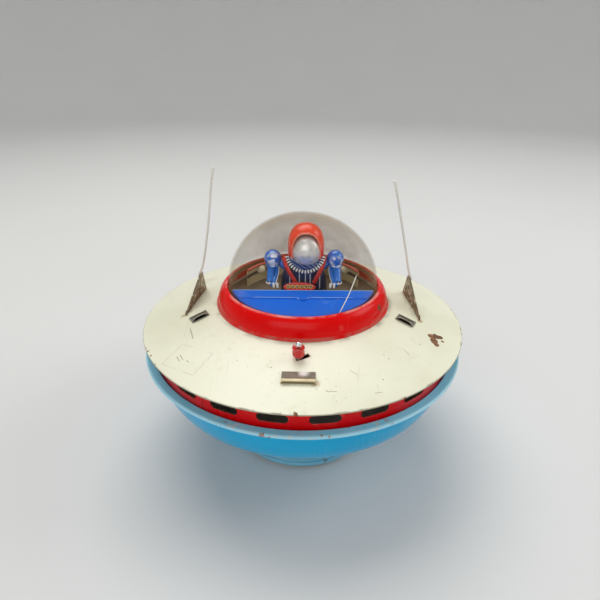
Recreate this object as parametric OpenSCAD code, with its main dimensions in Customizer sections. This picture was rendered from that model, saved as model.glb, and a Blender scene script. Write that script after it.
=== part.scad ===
// Tin flying saucer toy with a pilot under a clear dome, driven by clockwork.
// Millimetres, +Z up, the ground is z = 0, the front of the saucer faces -Y.

/* [Saucer] */
// Radius of the cream deck and of the bowl's lip
deck_r = 82.5; // [82.5:0.5:83]
// Height of the deck's rim above the ground
rim_z = 73; // [73:0.1:73.5]
// Rise of the deck cone from its rim to the dome ring's foot
deck_rise = 10.4; // [10:0.1:10.8]
// Thickness of the pressed tin sheet
tin = 0.5; // [0.4:0.05:0.5]
// Radius of the hemmed edge of the deck's rim
hem_r = 0.35; // [0.35:0.05:0.5]
// Radius of the rolled bead at the bowl's lip
bead_r = 0.9; // [0.8:0.05:1]

/* [Window band] */
// Outer radius of the red band
band_r = 77.3; // [77:0.1:77.4]
// Number of stadium windows round the band
window_count = 22; // [16:1:24]
// Length of one window along the band
window_len = 13.8; // [11:0.2:15]
// Height of one window
window_h = 4.4; // [4:0.2:5]

/* [Dome] */
// Outer radius of the clear dome
dome_r = 38; // [37.6:0.1:38.2]
// Height of the dome above its widest circle
dome_rise = 34.6; // [33:0.2:36]
// Wall of the clear dome
dome_wall = 0.8; // [0.6:0.1:1]

/* [Antennas] */
// Diameter of the antenna wire
wire_d = 1.2; // [1:0.1:1.4]
// Thickness of the perforated antenna fins
fin_t = 0.6; // [0.5:0.1:0.8]

/* [Clockwork] */
// Gear module of the train
gear_module = 0.8; // [0.8:0.05:0.8]
// Teeth of the great wheel
great_teeth = 44; // [44:2:44]
// Teeth of the second wheel
second_teeth = 40; // [40:2:40]
// Teeth of the third wheel
third_teeth = 36; // [36:2:36]
// Teeth of the crown wheel on the drive axle
crown_teeth = 16; // [16:2:16]
// Turns of the mainspring
spring_turns = 7; // [5:1:8]

/* [Running gear] */
// Radius of the two drive wheels
wheel_r = 9; // [9:0.1:9.2]
// Distance of each drive wheel from the middle
wheel_x = 20; // [19:0.5:20.5]
// Radius of the guide wheel
guide_r = 4.6; // [4.5:0.1:4.7]

/* [Hidden] */
$fn = 96;

// Gaps: a face that rests on another, a running fit, and a free space
touch = 0.02;
run_gap = 0.05;
free_gap = 0.3;

// Deck cone
foot_r = 44.6;
deck_slope = deck_rise / (deck_r - foot_r);
deck_tilt = atan(deck_slope);
deck_hole_r = 41;
function deck_z(r) = rim_z + (deck_r - r) * deck_slope;

// Bowl: a steep wall on an ellipse that turns into a flat floor
bowl_cx = 64.85;
bowl_cz = 66.5;
bowl_a = 13.7;
bowl_b = 30;
bowl_floor_z = bowl_cz - bowl_b;
lip_z = rim_z - 11.2;
bowl_top_angle = -10;

// Base: skirt under the bowl, with a rolled ring just above the ground
ring_z = 2;
ring_r = 38;
skirt_top_r = 33.5;
ledge_z = 5;
plate_t = 0.8;
plate_r = 34.6;

// Dome and its ring
dome_z = rim_z + 21.3;
dome_foot_z = dome_z - 3.3;
ring_cx = 37.9;
ring_cz = deck_z(foot_r) + 0.8;
ring_a = 5.9;
ring_b = 9.5;
floor_z = 82.9;

// Pilot
pilot_x = 0.5;
head_x = 1.5;
head_z = 108.5;

// Levels of the clockwork
bottom_plate_z = 41;
top_plate_z = 58;
movement_t = 1;
great_z = 51.5;
ratchet_z = 53;
second_z = 55.5;
third_z = 47.8;
wheel_t = 1.2;

// Arbor places: A winding arbor, B second arbor, C drive shaft, D governor
pinion_teeth = 10;
governor_teeth = 8;
function pitch_r(teeth) = teeth * gear_module / 2;
arbor_a = [0, 50];
arbor_c = [0, 14];
ab = pitch_r(great_teeth) + pitch_r(pinion_teeth);
bc = pitch_r(second_teeth) + pitch_r(pinion_teeth);
cd = pitch_r(third_teeth) + pitch_r(governor_teeth);
ac = arbor_a[1] - arbor_c[1];
b_back = (ab * ab - bc * bc + ac * ac) / (2 * ac);
arbor_b = [sqrt(ab * ab - b_back * b_back), arbor_a[1] - b_back];
governor_angle = -130;
arbor_d = arbor_c + cd * [cos(governor_angle), sin(governor_angle)];
arbor_r = 2;
pivot_r = 1;
pillar_r = 2;
tenon_r = 1.2;
pillars = [[-22, 57.5], [22, 57.5], [21, 2], [-22, 12]];
flywheel_r = 8;

// Crown drive
axle_y = arbor_c[1];
axle_z = wheel_r;
axle_r = 1.25;
crown_r = pitch_r(crown_teeth);
crown_x = -pitch_r(pinion_teeth);
frame_x = 12;
frame_top_z = 20;

// Guide wheel
guide_y = -24;
guide_pivot_y = -15;

// Stop lever
lever_at = [-9.4, -31.6];
knob_at = [-1.9, -53.8];
lever_z = 75.5;
lever_arm_r = norm(knob_at - lever_at);
knob_aim = bearing(lever_at, knob_at);
lever_tail_r = 25.6;
tail_aim = 69.7;
tail_foot_z = 51.4;
lever_w = 3;
lever_swing = 10;
slot_spare = 2.9;
slot_half_w = 1.1;
stem_r = 0.8;
knob_foot_r = 2.2;
knob_end = lever_at + lever_arm_r * [cos(knob_aim + lever_swing), sin(knob_aim + lever_swing)];
knob_z = deck_z(norm(knob_end) - knob_foot_r) + free_gap / cos(deck_tilt);

// Involute teeth, crest and flank
pressure_angle = 25;
wheel_crest = 0.6;
pinion_crest = 0.9;
tooth_foot = 1.25;
tooth_play = 0.1;
flank_steps = 3;
function involute(a) = tan(a) * 180 / PI - a;

function tooth_side(teeth, crest) =
    let (
        rp = pitch_r(teeth),
        rb = rp * cos(pressure_angle),
        ra = rp + crest * gear_module,
        rr = rp - tooth_foot * gear_module,
        half = 90 / teeth - tooth_play / (2 * rp) * 180 / PI + involute(pressure_angle),
        r0 = max(rb, rr)
    )
    concat(
        rr < rb ? [[rr, half]] : [],
        [for (i = [0:flank_steps])
            let (r = r0 + (ra - r0) * i / flank_steps)
            [r, half - (r > rb + 0.0001 ? involute(acos(rb / r)) : 0)]]
    );

function gear_points(teeth, crest) =
    let (side = tooth_side(teeth, crest), last = len(side) - 1)
    [for (t = [0:teeth - 1])
        for (s = [-1, 1])
            for (i = [0:last])
                let (p = side[s < 0 ? i : last - i], a = 360 * t / teeth + s * p[1])
                p[0] * [cos(a), sin(a)]];

function arc(c, r, a0, a1, n) =
    [for (i = [0:n]) let (a = a0 + (a1 - a0) * i / n) c + r * [cos(a), sin(a)]];

function ellipse_arc(c, a, b, t0, t1, n) =
    [for (i = [0:n]) let (t = t0 + (t1 - t0) * i / n) c + [a * cos(t), b * sin(t)]];

function bearing(from, to) = atan2(to[1] - from[1], to[0] - from[0]);

// A gear whose tooth points along the angle `aim`
module gear(teeth, crest, t, aim) {
    rotate([0, 0, aim])
        linear_extrude(t)
            polygon(gear_points(teeth, crest));
}

// A pinion whose gap points along the angle `aim`
module pinion(teeth, t, aim) {
    gear(teeth, pinion_crest, t, aim + 180 / teeth);
}

// A wheel at its arbor with a bore for the arbor
module train_wheel(at, z, teeth, aim, bore_r) {
    translate([at[0], at[1], z])
        difference() {
            gear(teeth, wheel_crest, wheel_t, aim);
            translate([0, 0, -1])
                cylinder(h = wheel_t + 2, r = bore_r);
            for (a = [0:72:288])
                rotate([0, 0, a])
                    translate([pitch_r(teeth) * 0.62, 0, -1])
                        cylinder(h = wheel_t + 2, r = pitch_r(teeth) * 0.17);
        }
}

module stadium(len, h) {
    square([len - h, h], center = true);
    for (s = [-1, 1])
        translate([s * (len - h) / 2, 0])
            circle(d = h, $fn = 32);
}

module tube(r_out, r_in, h) {
    difference() {
        cylinder(h = h, r = r_out);
        translate([0, 0, -1])
            cylinder(h = h + 2, r = r_in);
    }
}

// Solid from the deck's top face downwards, used to seat what stands on it
module under_deck(gap) {
    rotate_extrude()
        polygon([
            [0, deck_z(deck_hole_r) - 30], [deck_r + 5, deck_z(deck_hole_r) - 30],
            [deck_r + 5, deck_z(deck_r + 5) + gap], [0, deck_z(0) + gap]
        ]);
}

// ---- Shell ----

module lever_slot() {
    steps = 8;
    inner = [for (i = [0:steps]) (lever_arm_r - slot_half_w) * slot_dir(i / steps)];
    outer = [for (i = [steps:-1:0]) (lever_arm_r + slot_half_w) * slot_dir(i / steps)];
    translate([lever_at[0], lever_at[1], deck_z(60) - 6])
        linear_extrude(14)
            polygon(concat(inner, outer));
}

function slot_dir(k) =
    let (a = knob_aim - slot_spare + (lever_swing + 2 * slot_spare) * k)
    [cos(a), sin(a)];

module upper_deck() {
    c = [deck_r - hem_r, deck_z(deck_r - hem_r) - hem_r];
    color("cornsilk")
        difference() {
            rotate_extrude()
                polygon(concat(
                    [[deck_hole_r, deck_z(deck_hole_r)]],
                    arc(c, hem_r, 90 - deck_tilt, -200, 12),
                    [[c[0] - 1.2, deck_z(c[0] - 1.2) - tin],
                        [deck_hole_r, deck_z(deck_hole_r) - tin]]
                ));
            lever_slot();
            left_fin_tabs(0.12);
            right_fin_tabs(0.12);
        }
}

module window_cutter() {
    translate([0, -band_r + 3, rim_z - 6.7])
        rotate([90, 0, 0])
            linear_extrude(6)
                stadium(window_len, window_h);
}

module window_band() {
    flange_r = 74;
    under = tin + touch;
    color("firebrick")
        difference() {
            rotate_extrude()
                polygon([
                    [band_r, lip_z - 3.8], [band_r, deck_z(band_r) - under],
                    [flange_r, deck_z(flange_r) - under],
                    [flange_r, deck_z(flange_r) - under - tin],
                    [band_r - tin, deck_z(band_r - tin) - under - tin],
                    [band_r - tin, lip_z - 3.8]
                ]);
            for (i = [0:window_count - 1])
                rotate([0, 0, 7 + i * 360 / window_count])
                    window_cutter();
        }
}

module lower_bowl() {
    c = [deck_r - bead_r, lip_z - bead_r];
    color("steelblue")
        difference() {
            rotate_extrude()
                polygon(concat(
                    [[0, bowl_floor_z]],
                    ellipse_arc([bowl_cx, bowl_cz], bowl_a, bowl_b, -90, bowl_top_angle, 14),
                    [[78.9, lip_z - tin]],
                    arc(c, bead_r, 155, 450, 12),
                    [[78.4, lip_z]],
                    ellipse_arc(
                        [bowl_cx, bowl_cz], bowl_a - tin, bowl_b - tin,
                        bowl_top_angle, -90, 14
                    ),
                    [[0, bowl_floor_z + tin]]
                ));
            for (p = [arbor_a, arbor_c])
                translate([p[0], p[1], bowl_floor_z - 1])
                    cylinder(h = 3, r = arbor_r + 1);
            for (p = pillars)
                translate([p[0], p[1], bowl_floor_z - 1])
                    cylinder(h = 3, r = tenon_r + 0.2);
        }
}

module base_skirt() {
    color("lightblue")
        rotate_extrude()
            polygon(concat(
                [[34, ledge_z], [34, ledge_z - 0.6], [35.2, ledge_z - 0.6]],
                [[35.4, ring_z]],
                arc([ring_r - 1.3, ring_z + 1.3], 1.3, -90, 90, 10),
                [[36.2, ring_z + 3.1]],
                [[skirt_top_r + tin, bowl_floor_z - tin - touch]],
                [[36.5, bowl_floor_z - tin - touch], [36.5, bowl_floor_z - touch]],
                [[skirt_top_r, bowl_floor_z - touch]],
                [[35, ledge_z]]
            ));
}

module base_plate() {
    slot_len = 2 * (wheel_r + 0.4);
    color("silver")
        translate([0, 0, ledge_z])
            difference() {
                cylinder(h = plate_t, r = plate_r);
                for (s = [-1, 1])
                    translate([s * wheel_x - 3.5, axle_y - slot_len / 2, -1])
                        cube([7, slot_len, 3]);
                translate([crown_x - 3, axle_y - 8.2, -1])
                    cube([4.4, 16.4, 3]);
                translate([-7.4, guide_y - 6.5, -1])
                    cube([14.8, 13, 3]);
                translate([0, guide_pivot_y, -1])
                    cylinder(h = 3, r = 1.2);
            }
}

// ---- Dome and cockpit ----

module dome_ring() {
    color("red")
        rotate_extrude()
            polygon(concat(
                [[foot_r, deck_z(foot_r) + touch], [foot_r, deck_z(foot_r) + tin]],
                [[43.95, deck_z(43.95) + tin]],
                ellipse_arc([ring_cx, ring_cz], ring_a, ring_b, 2, 80, 14),
                [[ring_cx + 0.5, ring_cz + 8.4], [ring_cx + 0.95, ring_cz + 8.5]],
                ellipse_arc([ring_cx, ring_cz], ring_a - tin, ring_b - tin, 70, 2, 12),
                [[43.1, deck_z(43.1) + touch]]
            ));
}

module dome() {
    inner = dome_r - dome_wall;
    color([0.95, 0.93, 0.8, 0.35])
        rotate_extrude()
            polygon(concat(
                [[dome_r + 2.2, dome_foot_z], [dome_r + 2.2, dome_foot_z + 0.6]],
                [[dome_r, dome_foot_z + 0.6]],
                ellipse_arc([0, dome_z], dome_r, dome_rise, 0, 90, 30),
                ellipse_arc([0, dome_z], inner, dome_rise - dome_wall, 90, 0, 30),
                [[inner, dome_foot_z]]
            ));
}

module cockpit_floor() {
    color("dimgray")
        difference() {
            rotate_extrude()
                polygon([
                    [0, floor_z], [41, floor_z], [43.9, deck_z(43.9) - 2 * tin - touch],
                    [43.9, deck_z(43.9) - tin - touch], [41.2, deck_z(41.2) - tin - touch],
                    [40.9, floor_z + tin], [0, floor_z + tin]
                ]);
            translate([lever_at[0], lever_at[1], floor_z - 1])
                cylinder(h = 3, r = tenon_r + run_gap);
        }
}

// Blue tray in front of the pilot: a raised shelf, a step with a V, a flat front
module cockpit_cowl() {
    cowl_r = 36.9;
    back_y = -10.8;
    step_y = -19.2;
    shelf_z = 93.4;
    front_z = 92.7;
    color("royalblue") {
        intersection() {
            translate([0, 0, 80])
                cylinder(h = 20, r = cowl_r);
            translate([-40, 0, 0])
                rotate([90, 0, 90])
                    linear_extrude(80)
                        polygon([
                            [back_y, shelf_z], [step_y, shelf_z], [step_y - 0.6, front_z],
                            [-38, front_z - 0.3], [-38, front_z - 0.8],
                            [step_y - 0.2, front_z - 0.5], [step_y + 0.2, shelf_z - 0.5],
                            [back_y - 0.5, shelf_z - 0.5], [back_y - 0.5, 90.8],
                            [back_y, 90.8]
                        ]);
        }
        intersection() {
            translate([0, 0, floor_z + tin + touch])
                tube(cowl_r, cowl_r - 0.5, front_z - floor_z - tin - 0.5);
            translate([-40, -40, 80])
                cube([80, 40 + back_y, 20]);
        }
        translate([0, 0, front_z - 0.4])
            linear_extrude(shelf_z - front_z + 0.4)
                polygon([[-3, step_y], [3, step_y], [0.9, step_y - 2.4], [-0.4, step_y - 2.4]]);
    }
}

module rear_bulkhead() {
    wall_r = 33;
    z0 = floor_z + tin + touch;
    color("tan")
        rotate([0, 0, 25])
            rotate_extrude(angle = 130)
                polygon([
                    [wall_r, z0], [wall_r + 0.6, z0], [wall_r + 0.6, 93], [wall_r + 0.2, 93.6],
                    [wall_r - 1.4, 93.6], [wall_r - 1.4, 93], [wall_r, 93]
                ]);
}

module bulkhead_lamps() {
    color("ivory")
        for (a = [44, 136])
            rotate([0, 0, a])
                translate([32.8, 0, 90.4])
                    rotate([0, -90, 0])
                        rotate_extrude()
                            polygon(concat(
                                [[0, 0], [2.6, 0], [2.6, 1.2]],
                                arc([0, 1.2], 2.1, 0, 85, 8), [[0, 3.3]]
                            ));
}

// ---- Pilot ----

module pilot_torso() {
    z0 = floor_z + tin + touch;
    color("midnightblue")
        hull() {
            for (s = [-1, 1]) {
                translate([pilot_x + s * 6, 2.5, z0])
                    cylinder(h = 8, r = 6, $fn = 32);
                translate([pilot_x + s * 6.5, 1.8, 97.2])
                    sphere(r = 4.8, $fn = 32);
            }
            translate([head_x, 1.2, 101.5])
                cylinder(h = 0.6, r = 5.5, $fn = 32);
        }
}

module arm(side) {
    shoulder = [pilot_x + side * 16, 3, 105];
    elbow = [pilot_x + side * 16.6, 1, 99];
    wrist = [pilot_x + side * 17.2, -5.5, 94];
    hand = [pilot_x + side * 16.6, -8.2, 93.2];
    color("royalblue") {
        hull() {
            translate(shoulder)
                sphere(r = 4.5, $fn = 32);
            translate(shoulder - [side * 1.5, -2, 3])
                sphere(r = 3.4, $fn = 24);
        }
        hull() {
            translate(elbow)
                sphere(r = 2.6, $fn = 24);
            translate(wrist)
                sphere(r = 2.2, $fn = 24);
        }
        hull() {
            translate(wrist)
                sphere(r = 1.8, $fn = 20);
            translate(hand)
                sphere(r = 1.6, $fn = 20);
        }
    }
    color("midnightblue")
        hull() {
            translate([pilot_x + side * 10.6, 3.5, 99.5])
                sphere(r = 1.3, $fn = 20);
            translate(shoulder + [0, 2, -1])
                sphere(r = 2, $fn = 20);
        }
}

module pilot_left_arm() {
    difference() {
        arm(-1);
        pilot_torso();
    }
}

module pilot_right_arm() {
    difference() {
        arm(1);
        pilot_torso();
    }
}

module egg(c, r, rise) {
    translate(c)
        rotate_extrude()
            polygon(concat([[0, -rise]], ellipse_arc([0, 0], r, rise, -85, 85, 20), [[0, rise]]));
}

module pilot_head() {
    color("peachpuff") {
        egg([head_x, 3, head_z + 0.2], 5, 6.2);
        translate([head_x, 3, 102.2])
            cylinder(h = 2, r = 3);
    }
}

module pilot_hood() {
    color("orangered")
        difference() {
            egg([head_x, 5, head_z + 1.5], 9.4, 13);
            egg([head_x, 5, head_z + 1.5], 8.6, 12.2);
            translate([head_x - 20, -20, 90])
                cube([40, 40, 12.6]);
            translate([head_x, 0, head_z])
                rotate([90, 0, 0])
                    cylinder(h = 20, r = 7.2);
            translate([head_x - 7.2, -20, 95])
                cube([14.4, 20, head_z - 95]);
            translate([head_x - 20, -20, 90])
                cube([40, 21, head_z - 4 - 90]);
        }
}

module pilot_visor() {
    color("gainsboro")
        difference() {
            egg([head_x, 2, head_z], 6.6, 8);
            egg([head_x, 2, head_z], 6.1, 7.5);
            translate([head_x - 10, 2, 90])
                cube([20, 20, 40]);
            translate([head_x - 10, -20, 90])
                cube([20, 40, head_z - 5.5 - 90]);
        }
}

// Place of one bead of the collar, at the angle `a` round the neck
function bead_at(a) =
    let (drop = -sin(a))
    [head_x - 0.3 + 9.3 * cos(a), 0.2 - 5.6 * drop, head_z - 0.5 - 7 * drop];

module pilot_collar() {
    beads = 17;
    step = 160 / (beads - 1);
    color("whitesmoke")
        for (i = [0:beads - 1]) {
            translate(bead_at(190 + i * step))
                hull()
                    sphere(r = 0.7, $fn = 12);
            if (i > 0)
                hull()
                    for (k = [i - 1, i])
                        translate(bead_at(190 + k * step))
                            sphere(r = 0.3, $fn = 8);
        }
}

module strap(top, foot) {
    hull() {
        for (s = [-1, 1]) {
            translate(top + [s * 1, 0, 0])
                sphere(r = 0.45, $fn = 12);
            translate(foot + [s * 1, 0, 0])
                sphere(r = 0.45, $fn = 12);
        }
    }
}

module pilot_straps() {
    color("crimson")
        difference() {
            union() {
                strap([head_x - 8.6, -2.4, 102.6], [head_x - 5, -4.3, 95.5]);
                strap([head_x + 8, -2.4, 102.6], [head_x + 4, -4.3, 95.5]);
            }
            pilot_torso();
        }
}

// Places things on the tilted face of the control panel
module on_panel() {
    translate([-0.3, -7.6, 94])
        rotate([50, 0, 0])
            children();
}

module control_panel() {
    color("firebrick") {
        on_panel()
            linear_extrude(0.8)
                stadium(17, 4.4);
        translate([-0.3, -7.4, floor_z + tin + touch])
            cylinder(h = 10.5, r = 1.2);
    }
}

module panel_dials() {
    dials = 6;
    color("gold")
        on_panel()
            for (i = [0:dials - 1])
                translate([(i - (dials - 1) / 2) * 2.5, 0, 0.8 + touch])
                    tube(1, 0.55, 0.4);
}

// ---- Antennas ----

// Fin in its own plane: x along the base from front to back, y up to the apex
module fin_plate(len, apex) {
    difference() {
        union() {
            polygon([[0, -0.5], [len, -0.5], [len, 1.2], apex + [1.1, 0], apex - [1.3, 0], [0, 1.2]]);
            translate([0.2, 0.9])
                circle(r = 1.5, $fn = 32);
        }
        translate([0.9, 1])
            rotate(28)
                stadium(3, 1);
        for (h = [[5.6, 3.4, 35], [9, 4.2, 60], [12.6, 3, 20], [13.2, 7.2, 60],
                [17.2, 4.4, 70], [17, 9.6, 70], [21, 3.4, 100], [20.6, 7.6, 110]])
            translate([h[0], h[1]])
                rotate(h[2])
                    stadium(3.2, 1.8);
    }
}

// Puts a fin's plane on the deck: from the front corner, turned, leaning inward
module place_fin(front, turn, lean) {
    translate([front[0], front[1], deck_z(norm(front)) + 0.3])
        rotate([0, 0, turn])
            rotate([90 + lean, 0, 0])
                translate([0, 0, -fin_t / 2])
                    children();
}

fin_len = 29.4;
fin_apex = [17, 16.5];
left_front = [-59.4, -10.7];
right_front = [58.9, -14.2];
left_turn = 80;
right_turn = 96;
left_lean = 11;
right_lean = -7;

module fin(front, turn, lean) {
    difference() {
        place_fin(front, turn, lean)
            linear_extrude(fin_t)
                fin_plate(fin_len, fin_apex);
        under_deck(touch);
    }
}

module fin_tabs(front, turn, lean, grow) {
    place_fin(front, turn, lean)
        for (u = [6, 22])
            translate([u - 1.5 - grow, -3 - grow, -grow])
                cube([3 + 2 * grow, 4.6 + 2 * grow, fin_t + 2 * grow]);
}

module left_fin_tabs(grow) {
    fin_tabs(left_front, left_turn, left_lean, grow);
}

module right_fin_tabs(grow) {
    fin_tabs(right_front, right_turn, right_lean, grow);
}

module left_antenna_fin() {
    color("rosybrown") {
        fin(left_front, left_turn, left_lean);
        left_fin_tabs(0);
    }
}

module right_antenna_fin() {
    color("rosybrown") {
        fin(right_front, right_turn, right_lean);
        right_fin_tabs(0);
    }
}

// Wire of two straight lengths with a round end, and its blob of solder
module wire(root, bend, tip) {
    for (p = [[root, bend], [bend, tip]])
        hull()
            for (at = p)
                translate(at)
                    sphere(r = wire_d / 2, $fn = 16);
    hull()
        translate(root)
            sphere(r = 1, $fn = 16);
}

// The upper part of a fin as a plain block, which the soldered wire fits round
module fin_top_block() {
    translate([5, 5, -touch])
        cube([20, fin_apex[1] - 5 + touch, fin_t + 2 * touch]);
}

module left_antenna_wire() {
    color("lightgray")
        difference() {
            wire([-54.6, 6, 93.4], [-52.6, 5.2, 99.2], [-42.9, 4, 151.1]);
            place_fin(left_front, left_turn, left_lean)
                fin_top_block();
        }
}

module right_antenna_wire() {
    color("lightgray")
        difference() {
            wire([56.3, 2.2, 93.4], [54.7, 2.6, 99], [43.7, 4, 144.9]);
            place_fin(right_front, right_turn, right_lean)
                fin_top_block();
        }
}

// ---- Scoops ----

// Pressed hood, open at its front (-y): w across, d deep, h high
module scoop(w, d, h) {
    difference() {
        rotate([90, 0, 90])
            translate([0, 0, -w / 2])
                linear_extrude(w)
                    polygon([
                        [0, -1], [0, 0.3], [-d + 1, h], [-d, h], [-d, h - 0.5],
                        [-d, -1]
                    ]);
        rotate([90, 0, 90])
            translate([0, 0, -w / 2 + 0.6])
                linear_extrude(w - 1.2)
                    polygon([
                        [-0.8, -2], [-0.8, 0.1], [-d + 0.9, h - 0.5], [-d - 1, h - 0.5],
                        [-d - 1, -2]
                    ]);
    }
    translate([-w / 2, -d - 0.1, h - 0.35])
        rotate([0, 90, 0])
            cylinder(h = w, r = 0.35, $fn = 24);
    translate([-w / 2 - 0.4, -d - 0.5, -1])
        cube([w + 0.8, 0.8, 1.4]);
}

// Puts a scoop on the deck cone at radius r, azimuth az from the front, opening turned by `face`
module on_deck(r, az, face) {
    rotate([0, 0, az])
        translate([0, -r, deck_z(r)])
            rotate([deck_tilt, 0, 0])
                rotate([0, 0, face])
                    children();
}

module front_scoop() {
    color("silver")
        difference() {
            on_deck(61.2, -1.6, 0)
                scoop(14.4, 6, 1.7);
            under_deck(touch);
        }
}

module left_scoop() {
    color("silver")
        difference() {
            on_deck(54.8, -75.6, 103.3)
                scoop(9.2, 5.7, 1.75);
            under_deck(touch);
        }
}

module right_scoop() {
    color("silver")
        difference() {
            on_deck(54.9, 72.8, -100.4)
                scoop(9.2, 5.7, 1.75);
            under_deck(touch);
        }
}

// ---- Stop lever ----

module stop_lever() {
    color("gray") {
        translate([lever_at[0], lever_at[1], lever_z])
            linear_extrude(1)
                difference() {
                    union() {
                        circle(r = 3.2);
                        rotate(knob_aim)
                            translate([0, -lever_w / 2])
                                square([lever_arm_r + 2, lever_w]);
                        rotate(tail_aim)
                            translate([0, -lever_w / 2])
                                square([lever_tail_r, lever_w]);
                    }
                    circle(r = tenon_r + run_gap);
                }
        translate([knob_at[0], knob_at[1], lever_z + 0.5])
            cylinder(h = knob_z + 5 - lever_z - 0.5, r = stem_r, $fn = 48);
        translate([lever_at[0], lever_at[1], tail_foot_z])
            rotate([0, 0, tail_aim])
                translate([lever_tail_r - 0.8, -lever_w / 2, 0])
                    cube([0.8, lever_w, lever_z + 0.5 - tail_foot_z]);
    }
}

module lever_knob() {
    ribs = 10;
    color("red")
        translate([knob_at[0], knob_at[1], knob_z])
            difference() {
                rotate_extrude()
                    polygon([
                        [stem_r + touch, 0], [knob_foot_r, 0], [2.65, 0.7], [2.75, 2], [2.6, 3.4],
                        [2.8, 4.3], [2.6, 4.7], [2.1, 4.2], [stem_r + touch, 4]
                    ]);
                for (i = [0:ribs - 1])
                    rotate([0, 0, i * 360 / ribs])
                        translate([3.05, 0, -1])
                            cylinder(h = 4.4, r = 0.5, $fn = 24);
            }
}

module knob_cap() {
    color("silver")
        translate([knob_at[0], knob_at[1], knob_z])
            difference() {
                translate([0, 0, 5.6])
                    sphere(r = 1.45, $fn = 48);
                translate([0, 0, 3])
                    cylinder(h = 2 + touch, r = stem_r + touch, $fn = 48);
            }
}

module lever_pivot() {
    washer_z = lever_z + 1 + 0.1;
    color("silver")
        translate([lever_at[0], lever_at[1], 0]) {
            translate([0, 0, lever_z - 0.8])
                cylinder(h = 0.7, r = 2.2);
            translate([0, 0, lever_z - 0.2])
                cylinder(h = floor_z + tin - lever_z + 0.5, r = tenon_r);
            translate([0, 0, washer_z])
                cylinder(h = floor_z - touch - washer_z, r = 2.4);
            translate([0, 0, floor_z + tin + touch])
                cylinder(h = 0.6, r = 2.2);
        }
}

// ---- Movement frame ----

module movement_outline() {
    polygon([[-26, 63.8], [26, 63.8], [25.5, -1.8], [8, -4], [-17, -4.5], [-26, 8]]);
}

module movement_plate(z) {
    color("goldenrod")
        translate([0, 0, z])
            difference() {
                linear_extrude(movement_t)
                    movement_outline();
                translate([arbor_a[0], arbor_a[1], -1])
                    cylinder(h = 3, r = arbor_r + run_gap);
                for (p = [arbor_b, arbor_c, arbor_d])
                    translate([p[0], p[1], -1])
                        cylinder(h = 3, r = pivot_r + run_gap);
                for (p = pillars)
                    translate([p[0], p[1], -1])
                        cylinder(h = 3, r = tenon_r + touch);
            }
}

module movement_bottom_plate() {
    movement_plate(bottom_plate_z);
}

module movement_top_plate() {
    movement_plate(top_plate_z);
}

module movement_pillars() {
    z0 = bottom_plate_z + movement_t + touch;
    color("darkgoldenrod")
        for (p = pillars)
            translate([p[0], p[1], 0]) {
                translate([0, 0, z0])
                    cylinder(h = top_plate_z - touch - z0, r = pillar_r);
                translate([0, 0, bottom_plate_z])
                    cylinder(h = top_plate_z + movement_t + 0.6 - bottom_plate_z, r = tenon_r);
            }
}

module movement_feet() {
    z0 = bowl_floor_z + tin + touch;
    color("darkgoldenrod")
        for (p = pillars)
            translate([p[0], p[1], z0])
                tube(2.6, tenon_r + run_gap, bottom_plate_z - touch - z0);
}

module movement_screws() {
    color("silver")
        for (p = pillars)
            translate([p[0], p[1], 0])
                difference() {
                    union() {
                        translate([0, 0, bowl_floor_z - 1.3])
                            cylinder(h = 1.3 - touch, r = 2.4);
                        translate([0, 0, bowl_floor_z - 0.5])
                            cylinder(h = 4, r = tenon_r);
                    }
                    translate([-0.3, -3, bowl_floor_z - 2])
                        cube([0.6, 6, 1.3]);
                }
}

// ---- Winding ----

// Coiled strip from the arbor to the pillar that holds its outer end
module mainspring() {
    steps = 24;
    strip = 0.5;
    r0 = arbor_r + 0.6;
    r1 = 16;
    hook = pillars[0] - arbor_a;
    end_a = atan2(hook[1], hook[0]) - 20;
    n = spring_turns * steps;
    a0 = end_a - spring_turns * 360;
    function spiral(i, off) =
        let (a = a0 + i * 360 / steps, r = r0 + (r1 - r0) * i / n + off)
        r * [cos(a), sin(a)];
    inner = [for (i = [0:n]) spiral(i, 0)];
    outer = [for (i = [n:-1:0]) spiral(i, strip)];
    last = spiral(n, strip / 2);
    d = hook - last;
    color("slategray")
        translate([arbor_a[0], arbor_a[1], bottom_plate_z + movement_t + 1])
            linear_extrude(7)
                union() {
                    polygon(concat(inner, outer));
                    difference() {
                        union() {
                            translate(last)
                                rotate(atan2(d[1], d[0]))
                                    translate([-0.4, -strip / 2])
                                        square([norm(d), strip]);
                            translate(hook)
                                circle(r = pillar_r + 0.6, $fn = 48);
                        }
                        translate(hook)
                            circle(r = pillar_r + touch, $fn = 96);
                    }
                }
}

module winding_arbor() {
    color("silver")
        translate([arbor_a[0], arbor_a[1], 0]) {
            translate([0, 0, 27])
                cylinder(h = top_plate_z + movement_t + 1 - 27, r = arbor_r);
            translate([0, 0, top_plate_z + movement_t + 0.2])
                cylinder(h = 0.8, r = 3);
            translate([0, 0, bottom_plate_z - 1.2])
                cylinder(h = 1, r = 3);
        }
}

module winding_key() {
    key_z = 9.5;
    wing_r = 5.4;
    color("lightgray")
        translate([arbor_a[0], arbor_a[1], 0])
            difference() {
                union() {
                    translate([0, 0, 21])
                        cylinder(h = 13.8, r = 3.1);
                    translate([0, 0.8, 0])
                        rotate([90, 0, 0])
                            linear_extrude(1.6)
                                union() {
                                    for (s = [-1, 1])
                                        translate([s * 5.2, key_z + wing_r])
                                            circle(r = wing_r, $fn = 64);
                                    translate([-3.1, key_z + 5])
                                        square([6.2, 13]);
                                }
                }
                translate([0, 0, 26.9])
                    cylinder(h = 10, r = arbor_r + touch);
                for (s = [-1, 1])
                    translate([s * 5.6, 3, key_z + wing_r])
                        rotate([90, 0, 0])
                            cylinder(h = 6, r = 2.4);
            }
}

ratchet_teeth = 12;
ratchet_r = 6.6;
ratchet_lag = 4;

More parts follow.
